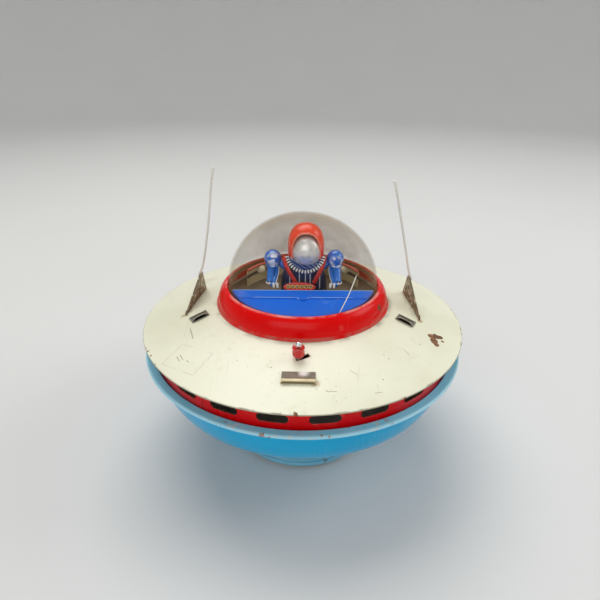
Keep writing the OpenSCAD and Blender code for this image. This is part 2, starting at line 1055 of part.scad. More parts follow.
module ratchet_wheel() {
    color("silver")
        translate([arbor_a[0], arbor_a[1], ratchet_z])
            difference() {
                linear_extrude(wheel_t)
                    polygon([for (i = [0:ratchet_teeth - 1]) for (k = [0, 1])
                        let (a = (i + (k == 1 ? 0.06 : 0)) * 360 / ratchet_teeth - ratchet_lag)
                        (k == 0 ? ratchet_r - 1.2 : ratchet_r) * [cos(a), sin(a)]]);
                translate([0, 0, -1])
                    cylinder(h = 4, r = arbor_r + touch);
            }
}

module great_wheel() {
    color("gold")
        train_wheel(arbor_a, great_z, great_teeth, bearing(arbor_a, arbor_b), arbor_r + run_gap);
}

click_at = [-3.2, -10.6];

// Pawl that rides on the great wheel and drops behind the ratchet's teeth
module click() {
    tip = [5.6, 4.9];
    color("silver")
        translate([arbor_a[0], arbor_a[1], ratchet_z])
            translate(click_at)
                difference() {
                    linear_extrude(wheel_t)
                        union() {
                            circle(r = 1.8, $fn = 48);
                            polygon([[-0.9, 1.5], tip + [-0.6, 0], tip + [0.3, -0.7], [1.4, -1.1]]);
                        }
                    translate([0, 0, -1])
                        cylinder(h = 4, r = 0.8 + run_gap);
                }
}

// Rivet of the click and the little wire spring that presses it
module click_spring() {
    color("gray")
        translate([arbor_a[0], arbor_a[1], great_z + wheel_t + touch]) {
            translate(click_at) {
                cylinder(h = ratchet_z - great_z - wheel_t - free_gap / 2, r = 1.6);
                cylinder(h = ratchet_z - great_z + 0.1, r = 0.8);
                translate([0, 0, ratchet_z - great_z + 0.1])
                    cylinder(h = 0.5, r = 1.5);
            }
            translate([8.5, -12.2, 0])
                cylinder(h = 1.6, r = 0.7);
            translate([-0.4, -12.2, 0.9])
                rotate([0, 90, 0])
                    cylinder(h = 8.9, r = 0.25, $fn = 24);
        }
}

// ---- Train ----

module pivoted_arbor(at, z0, z1, r) {
    translate([at[0], at[1], z0])
        cylinder(h = z1 - z0, r = r);
}

module second_arbor() {
    color("silver") {
        pivoted_arbor(arbor_b, bottom_plate_z, top_plate_z + movement_t, pivot_r);
        translate([arbor_b[0], arbor_b[1], great_z - 1])
            pinion(pinion_teeth, second_z - touch - great_z + 1, bearing(arbor_b, arbor_a));
        pivoted_arbor(arbor_b, bottom_plate_z + movement_t + free_gap, great_z - 1, 1.6);
        pivoted_arbor(arbor_b, second_z - touch, top_plate_z - free_gap, 1.6);
    }
}

module second_wheel() {
    color("gold")
        train_wheel(arbor_b, second_z, second_teeth, bearing(arbor_b, arbor_c), 1.6 + touch);
}

module drive_shaft() {
    pinion_z = axle_z + crown_r - 1.3;
    color("silver") {
        pivoted_arbor(arbor_c, pinion_z, top_plate_z + movement_t, pivot_r);
        translate([arbor_c[0], arbor_c[1], second_z - 0.8])
            pinion(pinion_teeth, 2.6, bearing(arbor_c, arbor_b));
        pivoted_arbor(arbor_c, bottom_plate_z + movement_t + free_gap, second_z - 0.8, 1.6);
        translate([arbor_c[0], arbor_c[1], pinion_z])
            pinion(pinion_teeth, 2.6, 180);
        pivoted_arbor(arbor_c, pinion_z + 2.6, frame_top_z - free_gap, 1.6);
        pivoted_arbor(arbor_c, frame_top_z + movement_t + free_gap, bottom_plate_z - free_gap, 1.6);
    }
}

module third_wheel() {
    color("gold")
        train_wheel(arbor_c, third_z, third_teeth, bearing(arbor_c, arbor_d), 1.6 + touch);
}

module governor_arbor() {
    color("silver") {
        pivoted_arbor(arbor_d, bottom_plate_z, top_plate_z + movement_t, pivot_r);
        translate([arbor_d[0], arbor_d[1], third_z - 0.8])
            pinion(governor_teeth, 2.8, bearing(arbor_d, arbor_c));
        pivoted_arbor(arbor_d, third_z + 2, top_plate_z - free_gap, 1.5);
    }
}

module governor_flywheel() {
    h = 3;
    color("goldenrod")
        translate([arbor_d[0], arbor_d[1], 51.4])
            difference() {
                cylinder(h = h, r = flywheel_r);
                translate([0, 0, -1])
                    cylinder(h = h + 2, r = 1.5 + touch);
                translate([0, 0, 1])
                    difference() {
                        cylinder(h = h, r = flywheel_r - 1);
                        translate([0, 0, -1])
                            cylinder(h = h + 2, r = 3);
                    }
            }
}

// ---- Running gear ----

// Contrate wheel: a dished disc with its teeth standing towards the drive shaft
module crown_wheel() {
    back_x = crown_x - 2;
    color("gold")
        translate([0, axle_y, axle_z])
            rotate([0, 90, 0])
                difference() {
                    union() {
                        translate([0, 0, back_x])
                            cylinder(h = 1, r = crown_r + 0.8);
                        translate([0, 0, back_x - 2])
                            cylinder(h = 2.4, r = 2.6);
                        for (i = [0:crown_teeth - 1])
                            rotate([0, 0, i * 360 / crown_teeth])
                                crown_tooth(back_x + 0.9);
                    }
                    translate([0, 0, back_x - 3])
                        cylinder(h = 5, r = axle_r + touch);
                }
}

module crown_tooth(z0) {
    tip_z = crown_x + 0.45;
    translate([-crown_r - 0.7, 0, 0])
        rotate([90, 0, 90])
            linear_extrude(1.4)
                polygon([[-0.5, z0], [0.5, z0], [0.36, crown_x], [0.22, tip_z],
                    [-0.22, tip_z], [-0.36, crown_x]]);
}

module drive_axle() {
    half = wheel_x + 4.2;
    color("silver")
        translate([-half, axle_y, axle_z])
            rotate([0, 90, 0])
                cylinder(h = 2 * half, r = axle_r);
}

module drive_wheel(side) {
    w = 5;
    translate([side * wheel_x, axle_y, axle_z])
        rotate([0, 90, 0])
            rotate_extrude()
                polygon([
                    [axle_r + touch, -w / 2 - 0.6], [3, -w / 2 - 0.6], [3, -w / 2 + 1],
                    [6.6, -w / 2 + 1], [7, -w / 2], [wheel_r - 0.5, -w / 2],
                    [wheel_r, -w / 2 + 0.6], [wheel_r, w / 2 - 0.6], [wheel_r - 0.5, w / 2],
                    [7, w / 2], [6.6, w / 2 - 1], [3, w / 2 - 1], [3, w / 2 + 0.6],
                    [axle_r + touch, w / 2 + 0.6]
                ]);
}

module left_drive_wheel() {
    color("dimgray")
        drive_wheel(-1);
}

module right_drive_wheel() {
    color("dimgray")
        drive_wheel(1);
}

// Bridge over the axle: two legs that carry it and a top that carries the shaft
module axle_frame() {
    leg_w = 9;
    z0 = ledge_z + plate_t + touch;
    color("silver")
        difference() {
            union() {
                for (s = [-1, 1]) {
                    translate([s * frame_x - 0.5, axle_y - leg_w / 2, z0])
                        cube([1, leg_w, frame_top_z + 1 - z0]);
                    translate([s > 0 ? frame_x - 0.5 : -frame_x - 2.6, axle_y - leg_w / 2, z0])
                        cube([3.1, leg_w, 0.8]);
                }
                translate([-frame_x - 0.5, axle_y - leg_w / 2, frame_top_z])
                    cube([2 * frame_x + 1, leg_w, 1]);
            }
            translate([-frame_x - 2, axle_y, axle_z])
                rotate([0, 90, 0])
                    cylinder(h = 2 * frame_x + 4, r = axle_r + run_gap);
            translate([0, axle_y, frame_top_z - 1])
                cylinder(h = 3, r = pivot_r + run_gap);
        }
}

guide_plate_z = ledge_z + plate_t + free_gap;
guide_plate_t = 0.8;
guide_ear_x = 2.2;

// Steering arm: a plate on the pivot with two ears that hold the guide wheel
module guide_bracket() {
    w = 2 * guide_ear_x + 1.6;
    color("silver")
        difference() {
            union() {
                translate([-w / 2, guide_y - 5.8, guide_plate_z])
                    cube([w, guide_pivot_y - guide_y + 5.8, guide_plate_t]);
                translate([0, guide_pivot_y, guide_plate_z])
                    cylinder(h = guide_plate_t, r = w / 2);
                for (s = [-1, 1])
                    translate([s * (guide_ear_x + 0.4) - 0.4, guide_y - 2, guide_r - 2])
                        cube([0.8, 4, guide_plate_z + guide_plate_t - guide_r + 2]);
            }
            translate([-guide_ear_x, guide_y - 5, guide_plate_z - 1])
                cube([2 * guide_ear_x, 10, 3]);
            translate([-5, guide_y, guide_r])
                rotate([0, 90, 0])
                    cylinder(h = 10, r = 0.7 + touch);
            translate([0, guide_pivot_y, guide_plate_z - 1])
                cylinder(h = 3, r = 1.2 + run_gap);
        }
}

module guide_wheel() {
    w = 3.4;
    color("dimgray")
        translate([0, guide_y, guide_r])
            rotate([0, 90, 0])
                rotate_extrude()
                    polygon([
                        [0.7 + run_gap, -w / 2], [guide_r - 0.5, -w / 2],
                        [guide_r, -w / 2 + 0.5], [guide_r, w / 2 - 0.5],
                        [guide_r - 0.5, w / 2], [0.7 + run_gap, w / 2]
                    ]);
}

module guide_axle() {
    half = guide_ear_x + 0.8;
    color("silver")
        translate([-half - 0.5, guide_y, guide_r])
            rotate([0, 90, 0]) {
                cylinder(h = 2 * half + 1, r = 0.7);
                cylinder(h = 0.5 - touch, r = 1.2);
                translate([0, 0, 2 * half + 0.5 + touch])
                    cylinder(h = 0.5 - touch, r = 1.2);
            }
}

module guide_pivot() {
    color("silver")
        translate([0, guide_pivot_y, 0]) {
            translate([0, 0, ledge_z - 0.7])
                cylinder(h = 0.7 - touch, r = 2.2);
            translate([0, 0, ledge_z - 0.2])
                cylinder(h = guide_plate_z + guide_plate_t + 0.3 - ledge_z, r = 1.2 - touch);
            translate([0, 0, ledge_z + plate_t + touch])
                cylinder(h = 0.15, r = 2.2);
            translate([0, 0, guide_plate_z + guide_plate_t + 0.1])
                cylinder(h = 0.7, r = 2.2);
        }
}

// ---- Output ----

upper_deck();
window_band();
lower_bowl();
base_skirt();
base_plate();
dome_ring();
dome();
cockpit_floor();
cockpit_cowl();
rear_bulkhead();
bulkhead_lamps();
pilot_torso();
pilot_left_arm();
pilot_right_arm();
pilot_head();
pilot_hood();
pilot_visor();
pilot_collar();
pilot_straps();
control_panel();
panel_dials();
left_antenna_fin();
right_antenna_fin();
left_antenna_wire();
right_antenna_wire();
front_scoop();
left_scoop();
right_scoop();
stop_lever();
lever_knob();
knob_cap();
lever_pivot();
movement_bottom_plate();
movement_top_plate();
movement_pillars();
movement_feet();
movement_screws();
mainspring();
winding_arbor();
winding_key();
ratchet_wheel();
great_wheel();
click();
click_spring();
second_arbor();
second_wheel();
drive_shaft();
third_wheel();
governor_arbor();
governor_flywheel();
crown_wheel();
drive_axle();
left_drive_wheel();
right_drive_wheel();
axle_frame();
guide_bracket();
guide_wheel();
guide_axle();
guide_pivot();
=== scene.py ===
from math import atan, copysign, cos, hypot, pi, radians, sin, sqrt

import bmesh
import bpy
from mathutils import Matrix, Vector


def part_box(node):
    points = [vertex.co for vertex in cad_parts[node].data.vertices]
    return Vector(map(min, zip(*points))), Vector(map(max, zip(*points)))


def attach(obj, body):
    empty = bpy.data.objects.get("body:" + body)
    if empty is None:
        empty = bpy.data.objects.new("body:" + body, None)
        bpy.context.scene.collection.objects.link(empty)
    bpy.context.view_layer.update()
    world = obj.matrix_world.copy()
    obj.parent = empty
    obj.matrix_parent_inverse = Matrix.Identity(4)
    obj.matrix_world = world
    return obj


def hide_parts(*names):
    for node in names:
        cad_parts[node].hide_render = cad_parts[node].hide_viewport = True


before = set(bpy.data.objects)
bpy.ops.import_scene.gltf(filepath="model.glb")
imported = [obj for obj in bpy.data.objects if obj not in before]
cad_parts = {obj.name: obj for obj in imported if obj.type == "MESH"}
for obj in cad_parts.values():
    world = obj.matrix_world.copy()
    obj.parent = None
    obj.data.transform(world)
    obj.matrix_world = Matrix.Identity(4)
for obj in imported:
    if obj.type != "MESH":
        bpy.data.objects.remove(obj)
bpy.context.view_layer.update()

# Looks of a tin flying saucer toy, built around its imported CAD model.

MM = 0.001


# ---- Camera, floor and lights ----

def placed(name, data):
    """A new object in the scene."""
    thing = bpy.data.objects.new(name, data)
    bpy.context.scene.collection.objects.link(thing)
    return thing


def add_camera():
    """Looks down on the saucer's front, a little rolled."""
    pitch, roll = 0.4662, 0.0071
    ahead = Vector((0, cos(pitch), -sin(pitch)))
    level_up = Vector((0, sin(pitch), cos(pitch)))
    level_right = Vector((1, 0, 0))
    right = cos(roll) * level_right + sin(roll) * level_up
    up = -sin(roll) * level_right + cos(roll) * level_up
    data = bpy.data.cameras.new("camera")
    data.sensor_width = 36
    data.lens = 31.2
    data.clip_start = 0.01
    data.clip_end = 20
    camera = placed("camera", data)
    turn = Matrix((right, up, -ahead)).transposed().to_4x4()
    camera.matrix_world = Matrix.Translation(Vector((-1.4, -245.0, 205.7)) * MM) @ turn
    bpy.context.scene.camera = camera


def add_light(name, place, target, size, power, colour=(1, 1, 1)):
    data = bpy.data.lights.new(name, "AREA")
    data.shape = "RECTANGLE"
    data.size, data.size_y = size
    data.energy = power
    data.color = colour
    light = placed(name, data)
    place, target = Vector(place), Vector(target)
    light.matrix_world = (
        Matrix.Translation(place)
        @ (target - place).to_track_quat("-Z", "Y").to_matrix().to_4x4()
    )


def add_lights():
    middle = (0, 0, 0.07)
    add_light("overhead", (-0.15, 0.4, 1.15), middle, (1.0, 0.7), 8.5, (1, 0.985, 0.96))
    add_light("side", (1.0, 0.1, 0.7), middle, (0.6, 0.5), 3.2, (0.96, 0.98, 1))
    add_light("front", (-0.25, -1.1, 0.75), middle, (1.3, 0.8), 5.0)
    world = bpy.data.worlds.new("studio")
    world.use_nodes = True
    background = world.node_tree.nodes["Background"]
    background.inputs["Color"].default_value = (0.93, 0.94, 0.95, 1)
    background.inputs["Strength"].default_value = 0.34
    scene = bpy.context.scene
    scene.world = world
    scene.view_settings.view_transform = "Standard"


def add_floor():
    """A plain floor that curves up into a round backdrop far from the object."""
    flat, bend, top = 1.3, 0.5, 1.6
    profile = [(0.01, 0.0), (flat * 0.5, 0.0)]
    profile += [
        (flat + bend * sin(a), bend * (1 - cos(a)))
        for a in (pi / 2 * t for t in shares(12))
    ]
    profile.append((flat + bend, top))
    angles = turns(96)
    rows = [[(r * cos(a), r * sin(a), z) for a in angles] for r, z in profile]
    corners, faces = grid(rows, wrap=True)
    faces.append(tuple(range(len(angles))))
    mesh = bpy.data.meshes.new("floor")
    mesh.from_pydata(corners, [], faces)
    mesh.shade_smooth()
    floor = placed("floor", mesh)
    look = Look("floor_paper", 0.85)
    look.clouded((0.70, 0.70, 0.69), (0.74, 0.74, 0.73), 6)
    look.dress(floor)


# ---- Materials ----

def srgb(r, g, b):
    """Linear colour of a screen colour given as 0 to 255."""
    return tuple(
        v / 12.92 if v <= 0.04045 else ((v + 0.055) / 1.055) ** 2.4
        for v in (r / 255, g / 255, b / 255)
    )


class Look:
    """One procedural material, with short calls for the nodes it is made of."""

    def __init__(self, name, rough=0.4, metal=0.0, **fixed):
        self.material = bpy.data.materials.new(name)
        self.material.use_nodes = True
        self.tree = self.material.node_tree
        self.shader = self.tree.nodes["Principled BSDF"]
        for socket, value in {"Roughness": rough, "Metallic": metal, **fixed}.items():
            self.put(socket.replace("_", " "), value)
        self.place = self.add("ShaderNodeTexCoord").outputs["Object"]
        self.bumps = None

    def put(self, socket, value):
        """Sets or links one of the shader's own sockets."""
        self.feed(self.shader.inputs[socket], value)

    def add(self, kind, inputs=None, **settings):
        """Adds a node and feeds the inputs given by name or number."""
        node = self.tree.nodes.new(kind)
        for key, value in settings.items():
            setattr(node, key, value)
        for socket, value in (inputs or {}).items():
            self.feed(node.inputs[socket], value)
        return node

    def feed(self, socket, value):
        if isinstance(value, bpy.types.NodeSocket):
            self.tree.links.new(value, socket)
        elif isinstance(value, (tuple, list)) and len(value) == 3 and socket.type == "RGBA":
            socket.default_value = (*value, 1)
        else:
            socket.default_value = value

    def noise(self, scale, detail=4.0, rough=0.55, at=None):
        inputs = {"Vector": at or self.place, "Scale": scale, "Detail": detail, "Roughness": rough}
        return self.add("ShaderNodeTexNoise", inputs).outputs["Fac"]

    def cells(self, scale):
        inputs = {"Vector": self.place, "Scale": scale}
        return self.add("ShaderNodeTexVoronoi", inputs).outputs["Distance"]

    def calc(self, operation, a, b=0.0):
        return self.add("ShaderNodeMath", {0: a, 1: b}, operation=operation).outputs[0]

    def vector(self, operation, a, b):
        node = self.add("ShaderNodeVectorMath", {0: a, 1: b}, operation=operation)
        return node.outputs["Value" if operation in ("DISTANCE", "DOT_PRODUCT") else "Vector"]

    def dot(self, a, b):
        return self.vector("DOT_PRODUCT", a, b)

    def size(self, value):
        return self.calc("ABSOLUTE", value)

    def sum(self, a, b):
        return self.calc("ADD", a, b)

    def less(self, a, b):
        return self.calc("SUBTRACT", a, b)

    def both(self, a, b):
        return self.calc("MULTIPLY", a, b)

    def most(self, *masks):
        result = masks[0]
        for mask in masks[1:]:
            result = self.calc("MAXIMUM", result, mask)
        return result

    def step(self, value, low, high):
        """0 below low, 1 above high, smooth between; it falls where low is above high."""
        inputs = {
            "Value": value, "From Min": min(low, high), "From Max": max(low, high),
            "To Min": float(low >= high), "To Max": float(low < high),
        }
        node = self.add("ShaderNodeMapRange", inputs, interpolation_type="SMOOTHSTEP")
        return node.outputs["Result"]

    def mix(self, share, a, b):
        return self.add("ShaderNodeMix", {0: share, 6: a, 7: b}, data_type="RGBA").outputs[2]

    def part(self, axis):
        """One coordinate of the piece's place, in metres."""
        return self.add("ShaderNodeSeparateXYZ", {0: self.place}).outputs["XYZ".index(axis)]

    def past(self, axis, start, low_mm, high_mm):
        """Mask along an axis, between two distances in mm from a start in metres."""
        return self.step(self.part(axis), start + low_mm * MM, start + high_mm * MM)

    def flat(self):
        """The place seen from above, with its height dropped."""
        return self.vector("MULTIPLY", self.place, (1, 1, 0))

    def radius(self):
        """Distance from the saucer's axis, in metres."""
        return self.vector("DISTANCE", self.flat(), (0, 0, 0))

    def gap(self, at_mm):
        """Distance from a point given in mm, in metres."""
        return self.vector("DISTANCE", self.place, tuple(c * MM for c in at_mm))

    def stretched(self, sx, sy, sz, turn=0.0):
        inputs = {"Vector": self.place, "Scale": (sx, sy, sz), "Rotation": (0, 0, turn)}
        return self.add("ShaderNodeMapping", inputs).outputs[0]

    def patches(self, scale, detail, low, high, rough=0.55):
        """Mask of cloudy patches: it rises where the noise passes from low to high."""
        return self.step(self.noise(scale, detail, rough), low, high)

    def blot(self, gap, size_mm, ragged, scale, soft):
        """Mask with a ragged border, from the distance to the middle of a spot."""
        waver = self.less(self.noise(scale, 3), 0.5)
        gap = self.sum(gap, self.both(waver, ragged * MM))
        return self.step(gap, size_mm * MM, (size_mm - soft) * MM)

    def spot(self, at_mm, size_mm, ragged, scale, soft=0.25):
        """Mask of one ragged spot on a surface seen from above."""
        gap = self.vector("DISTANCE", self.flat(), (at_mm[0] * MM, at_mm[1] * MM, 0))
        return self.blot(gap, size_mm, ragged, scale, soft)

    def near(self, at_mm, size_mm, ragged, scale, soft=0.3):
        """Mask of one ragged spot round a point in space."""
        return self.blot(self.gap(at_mm), size_mm, ragged, scale, soft)

    def specks(self, scale, size, gate_scale=30, gate=0.5):
        """Mask of small scattered dots, denser in some places than in others."""
        dots = self.step(self.cells(scale), size, size * 0.6)
        return self.both(dots, self.patches(gate_scale, 2, gate, gate + 0.12))

    def scratches(self, length, fine, turn, gate):
        """Mask of thin straight scratches along one direction."""
        lines = self.noise(1.0, 2, 0.5, at=self.stretched(fine, length, length, turn))
        return self.both(self.step(lines, gate, gate + 0.03), self.patches(35, 2, 0.5, 0.62))

    def colour(self, value):
        """Sets the base colour, which later coats go over."""
        self.base = value
        self.put("Base Color", value)

    def coat(self, mask, tone, share=None):
        """Lays a tone over the base colour where the mask is, at a share of its strength."""
        if share is not None:
            mask = self.both(mask, share)
        self.colour(self.mix(mask, self.base, tone))

    def clouded(self, tone, other, *cloud):
        """Mixes two tones by a noise for the base colour."""
        self.colour(self.mix(self.noise(*cloud), tone, other))

    def roughness(self, share, low, high):
        node = self.add("ShaderNodeMapRange", {"Value": share, "To Min": low, "To Max": high})
        self.put("Roughness", node.outputs["Result"])

    def bump(self, height, distance_mm):
        """Adds a layer of bumps on top of the earlier ones."""
        inputs = {"Strength": 1.0, "Distance": distance_mm * MM, "Height": height}
        if self.bumps is not None:
            inputs["Normal"] = self.bumps
        self.bumps = self.add("ShaderNodeBump", inputs).outputs["Normal"]
        self.put("Normal", self.bumps)

    def grain(self, scale, detail, distance_mm):
        self.bump(self.noise(scale, detail), distance_mm)

    def dress(self, piece):
        piece.data.materials.clear()
        piece.data.materials.append(self.material)


CREAM = srgb(237, 236, 213)
CREAM_AGED = srgb(226, 225, 199)
RUST = srgb(112, 68, 38)
RUST_DARK = srgb(52, 34, 24)
DIRT = srgb(120, 108, 84)
TIN = (0.55, 0.54, 0.50)


# Radii in metres between which a mask on the deck or the bowl rises
DECK_FOOT, DECK_RIM, DECK_EDGE = (0.0475, 0.0447), (0.0815, 0.0823), (0.0821, 0.0824)
BOWL_INSIDE, BOWL_LIP, BOWL_ROLL = (0.0776, 0.0773), (0.0779, 0.0783), (0.0812, 0.0818)


def deck_look():
    """Cream enamel with dirt at its rim and foot, painted shade along the rim's outer edge and
    round the lever knob, scuffs, stain marks, pin holes and chips.
    """
    look = Look("cream_enamel", Coat_Weight=0.12, Coat_Roughness=0.2)
    look.colour(look.mix(look.patches(14, 3, 0.35, 0.7), CREAM, CREAM_AGED))
    look.coat(look.patches(160, 5, 0.55, 0.8), srgb(196, 194, 160), 0.25)
    radius = look.radius()
    rim = look.step(radius, *DECK_RIM)
    edge = look.step(radius, *DECK_EDGE)
    # Patchy dirt at the rim, and along its outermost edge a solid darker line that is painted shade
    # under the rolled hem.
    rim_dirt_and_shade = look.most(look.both(rim, look.patches(200, 4, 0.5, 0.66)), look.both(edge, 0.8))
    foot_dirt = look.both(look.step(radius, *DECK_FOOT), look.patches(120, 4, 0.35, 0.65))
    look.coat(look.most(rim_dirt_and_shade, look.both(foot_dirt, 0.7)), DIRT, 0.75)
    scuffs = look.most(look.scratches(60, 1400, 0.5, 0.66), look.scratches(70, 1200, -0.9, 0.67))
    look.coat(scuffs, srgb(150, 142, 112), 0.16)
    look.coat(look.most(*[streak(look, *mark) for mark in DECK_MARKS]), srgb(140, 134, 106), 0.75)
    # Yellowed stain marks, one of which is painted shadow round the lever knob.
    stain_and_shade_masks = [look.both(look.spot(*stain), share) for *stain, share in DECK_STAINS_AND_SHADE]
    look.coat(look.most(*stain_and_shade_masks), srgb(166, 128, 70))
    pins = look.most(look.specks(300, 0.1, 22, 0.5), look.specks(620, 0.13, 60, 0.54))
    look.coat(pins, srgb(112, 98, 70), 0.5)
    look.coat(sticker_trace(look), srgb(158, 150, 116), 0.28)
    rim_chips = look.both(rim, look.patches(150, 4, 0.68, 0.71))
    chips = look.most(*[look.spot(*chip) for chip in DECK_CHIPS], rim_chips)
    bare = look.mix(look.patches(520, 4, 0.35, 0.65), srgb(86, 54, 34), srgb(150, 106, 66))
    look.coat(chips, bare)
    look.roughness(look.most(chips, look.both(scuffs, 0.5), rim_dirt_and_shade), 0.42, 0.75)
    look.grain(90, 3, 0.05)
    look.grain(900, 3, 0.008)
    look.bump(look.less(1.0, chips), 0.12)
    look.bump(look.spot((-2.0, -80.6), 4.2, 2, 300, 3), 0.5)
    return look


def streak(look, start, end, width_mm):
    """Mask of one thin mark on the deck between two places in mm."""
    start, end = Vector((*start, 0)) * MM, Vector((*end, 0)) * MM
    along = (end - start).normalized()
    offset = look.vector("SUBTRACT", look.flat(), tuple((start + end) / 2))
    u = look.size(look.dot(offset, tuple(along)))
    v = look.size(look.dot(offset, (-along.y, along.x, 0)))
    reach = (end - start).length / 2
    thin = look.step(v, width_mm * MM, width_mm * 0.4 * MM)
    return look.both(thin, look.step(u, reach, reach * 0.7))


# Separate scratches on the deck: both ends in mm and the width
DECK_MARKS = (
    ((-54.8, -24.9), (-51.6, -34.7), 0.35), ((9.3, -70.9), (14.5, -70.6), 0.25),
    ((-57.6, -44.6), (-55.4, -48.6), 0.3), ((-56.2, -43.8), (-53.9, -48.0), 0.3),
    ((-52.4, -48.6), (-50.6, -50.2), 0.3), ((20.2, -58.8), (23.4, -61.4), 0.2),
    ((29.5, -70.2), (33.4, -69.0), 0.2), ((46.2, -41.2), (48.8, -45.6), 0.2),
)

# Yellowed stain marks on the deck, and at (2.4, -52.4) painted shadow round the lever knob, partly
# dirt: where in mm, size, raggedness, grain, softness, strength
DECK_STAINS_AND_SHADE = (
    ((5.4, -66.6), 2.8, 3, 320, 2.4, 0.75), ((-7.0, -66.5), 3.0, 3, 300, 2.6, 0.3),
    ((2.4, -52.4), 2.6, 2.5, 300, 2.2, 0.35), ((-55.3, 19.5), 3.0, 4, 300, 2.5, 0.3),
    ((-55.3, 34.0), 7.0, 12, 140, 6, 0.18), ((55.0, 15.0), 3.0, 4, 300, 2.5, 0.3),
    ((-60.5, -11.5), 2.4, 2, 500, 2, 0.7), ((59.0, -15.5), 2.4, 2, 500, 2, 0.7),
)


# Places of bare chips on the deck: where in mm, size, raggedness, grain
DECK_CHIPS = (
    ((62.8, -27.4), 2.1, 2.0, 460), ((65.2, -26.4), 1.9, 2.0, 520),
    ((66.9, -26.6), 1.5, 2.0, 520), ((62.9, -30.8), 2.1, 2.2, 460),
    ((63.6, -33.4), 1.4, 1.8, 600), ((67.5, -29.6), 0.9, 1.2, 600),
    ((-73.2, -36.6), 0.75, 1.5, 800), ((-70.7, -40.6), 0.6, 1.2, 800),
    ((-2.8, -82.0), 1.1, 2.0, 500), ((-28.7, -52.9), 0.35, 0.6, 900),
    ((-14.9, -58.0), 0.35, 0.5, 900), ((-13.6, -58.4), 0.35, 0.5, 900),
    ((38.4, -49.7), 0.4, 0.8, 900), ((36.4, -47.5), 0.3, 0.6, 900),
    ((34.3, -62.2), 0.4, 1.0, 700), ((55.2, -35.7), 0.4, 0.8, 900),
    ((-54.8, -24.9), 0.35, 0.8, 900),
)


def sticker_trace(look):
    """Mask of the thin outline that a label left on the deck, with a few blind scuffs."""
    centre = (-52.1 * MM, -47.6 * MM, 0)
    turn = radians(-33)
    half_long, half_wide = 9.5 * MM, 6.8 * MM
    along, across = (cos(turn), sin(turn), 0), (-sin(turn), cos(turn), 0)
    offset = look.vector("SUBTRACT", look.flat(), centre)
    beyond = look.most(
        look.less(look.size(look.dot(offset, along)), half_long),
        look.less(look.size(look.dot(offset, across)), half_wide),
    )
    line = look.step(look.size(beyond), 0.35 * MM, 0.1 * MM)
    inside = look.step(beyond, 0.0, -0.6 * MM)
    scuffs = look.both(look.scratches(60, 1100, -0.9, 0.6), inside)
    return look.most(look.both(line, look.patches(150, 3, 0.42, 0.55)), scuffs)


def red_enamel(name, tone, worn_tone, wear, grain=60):
    """Aged red enamel on tin, with paler rubbed places and dark pin holes."""
    look = Look(name, Coat_Weight=0.06, Coat_Roughness=0.08, Specular_IOR_Level=0.16)
    rubbed = look.both(look.patches(grain, 5, 0.56, 0.74, 0.6), wear)
    look.clouded(tone, tuple(c * 0.88 for c in tone), 25, 3)
    look.coat(rubbed, worn_tone)
    look.coat(look.scratches(90, 900, 0.3, 0.64), worn_tone, 0.2)
    pins = look.specks(380, 0.14, 40, 0.5)
    look.coat(pins, RUST_DARK, 0.8)
    look.roughness(look.most(rubbed, pins), 0.26, 0.6)
    look.grain(70, 3, 0.04)
    look.grain(1000, 2, 0.006)
    return look


def ring_look():
    look = red_enamel("dome_ring_enamel", srgb(234, 0, 0), srgb(236, 70, 60), 0.12)
    lowest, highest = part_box("dome_ring")
    flange = look.past("Z", lowest.z, 2.0, 0.9)
    look.coat(look.both(flange, look.patches(150, 4, 0.3, 0.62)), srgb(200, 104, 92), 0.85)
    # Pale pink along the top edge: painted highlight where the edge catches the light.
    edge = look.both(look.past("Z", highest.z, -0.8, -0.2), 0.6)
    look.coat(look.both(edge, look.patches(80, 4, 0.4, 0.6)), srgb(236, 170, 160))
    scuff = look.near((17.4, -39.4, 88.2), 1.4, 3.0, 500)
    look.coat(scuff, srgb(240, 110, 96), 0.18)
    marks = look.most(
        look.near((37.1, -21.4, 89.2), 1.9, 1.2, 500),
        look.both(look.near((39.4, -16.4, 87.6), 0.8, 1.0, 600), 0.6),
    )
    look.coat(marks, srgb(112, 66, 34), 0.8)
    return look


def band_look():
    look = red_enamel("band_enamel", srgb(222, 0, 6), srgb(226, 84, 84), 0.3, 40)
    lowest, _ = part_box("window_band")
    # Paler pink toward the left and right sides as seen from the front, most near the bottom:
    # partly wear and partly painted sheen.
    low = look.past("Z", lowest.z, 8.5, 5.2)
    sides = look.step(look.size(look.part("X")), 0.034, 0.058)
    look.coat(look.both(sides, look.most(low, 0.5)), srgb(214, 98, 104), 0.5)
    look.coat(cut_edges(look), srgb(190, 120, 100), 0.7)
    seam = look.step(look.size(seam_offset(look, -34)), 0.35 * MM, 0.12 * MM)
    look.coat(seam, srgb(84, 10, 10), 0.6)
    return look


def seam_offset(look, azimuth):
    """Signed distance across the upright lap seam at an azimuth from the front."""
    angle = radians(azimuth)
    return look.dot(look.flat(), (cos(angle), sin(angle), 0))


def cut_edges(look):
    """Mask of the raw sheet edges in a window: faces that don't face away from the axis."""
    geometry = look.add("ShaderNodeNewGeometry")
    outward = look.add("ShaderNodeVectorMath", {0: look.flat()}, operation="NORMALIZE")
    facing = look.dot(geometry.outputs["True Normal"], outward.outputs[0])
    return look.step(look.size(facing), 0.6, 0.4)


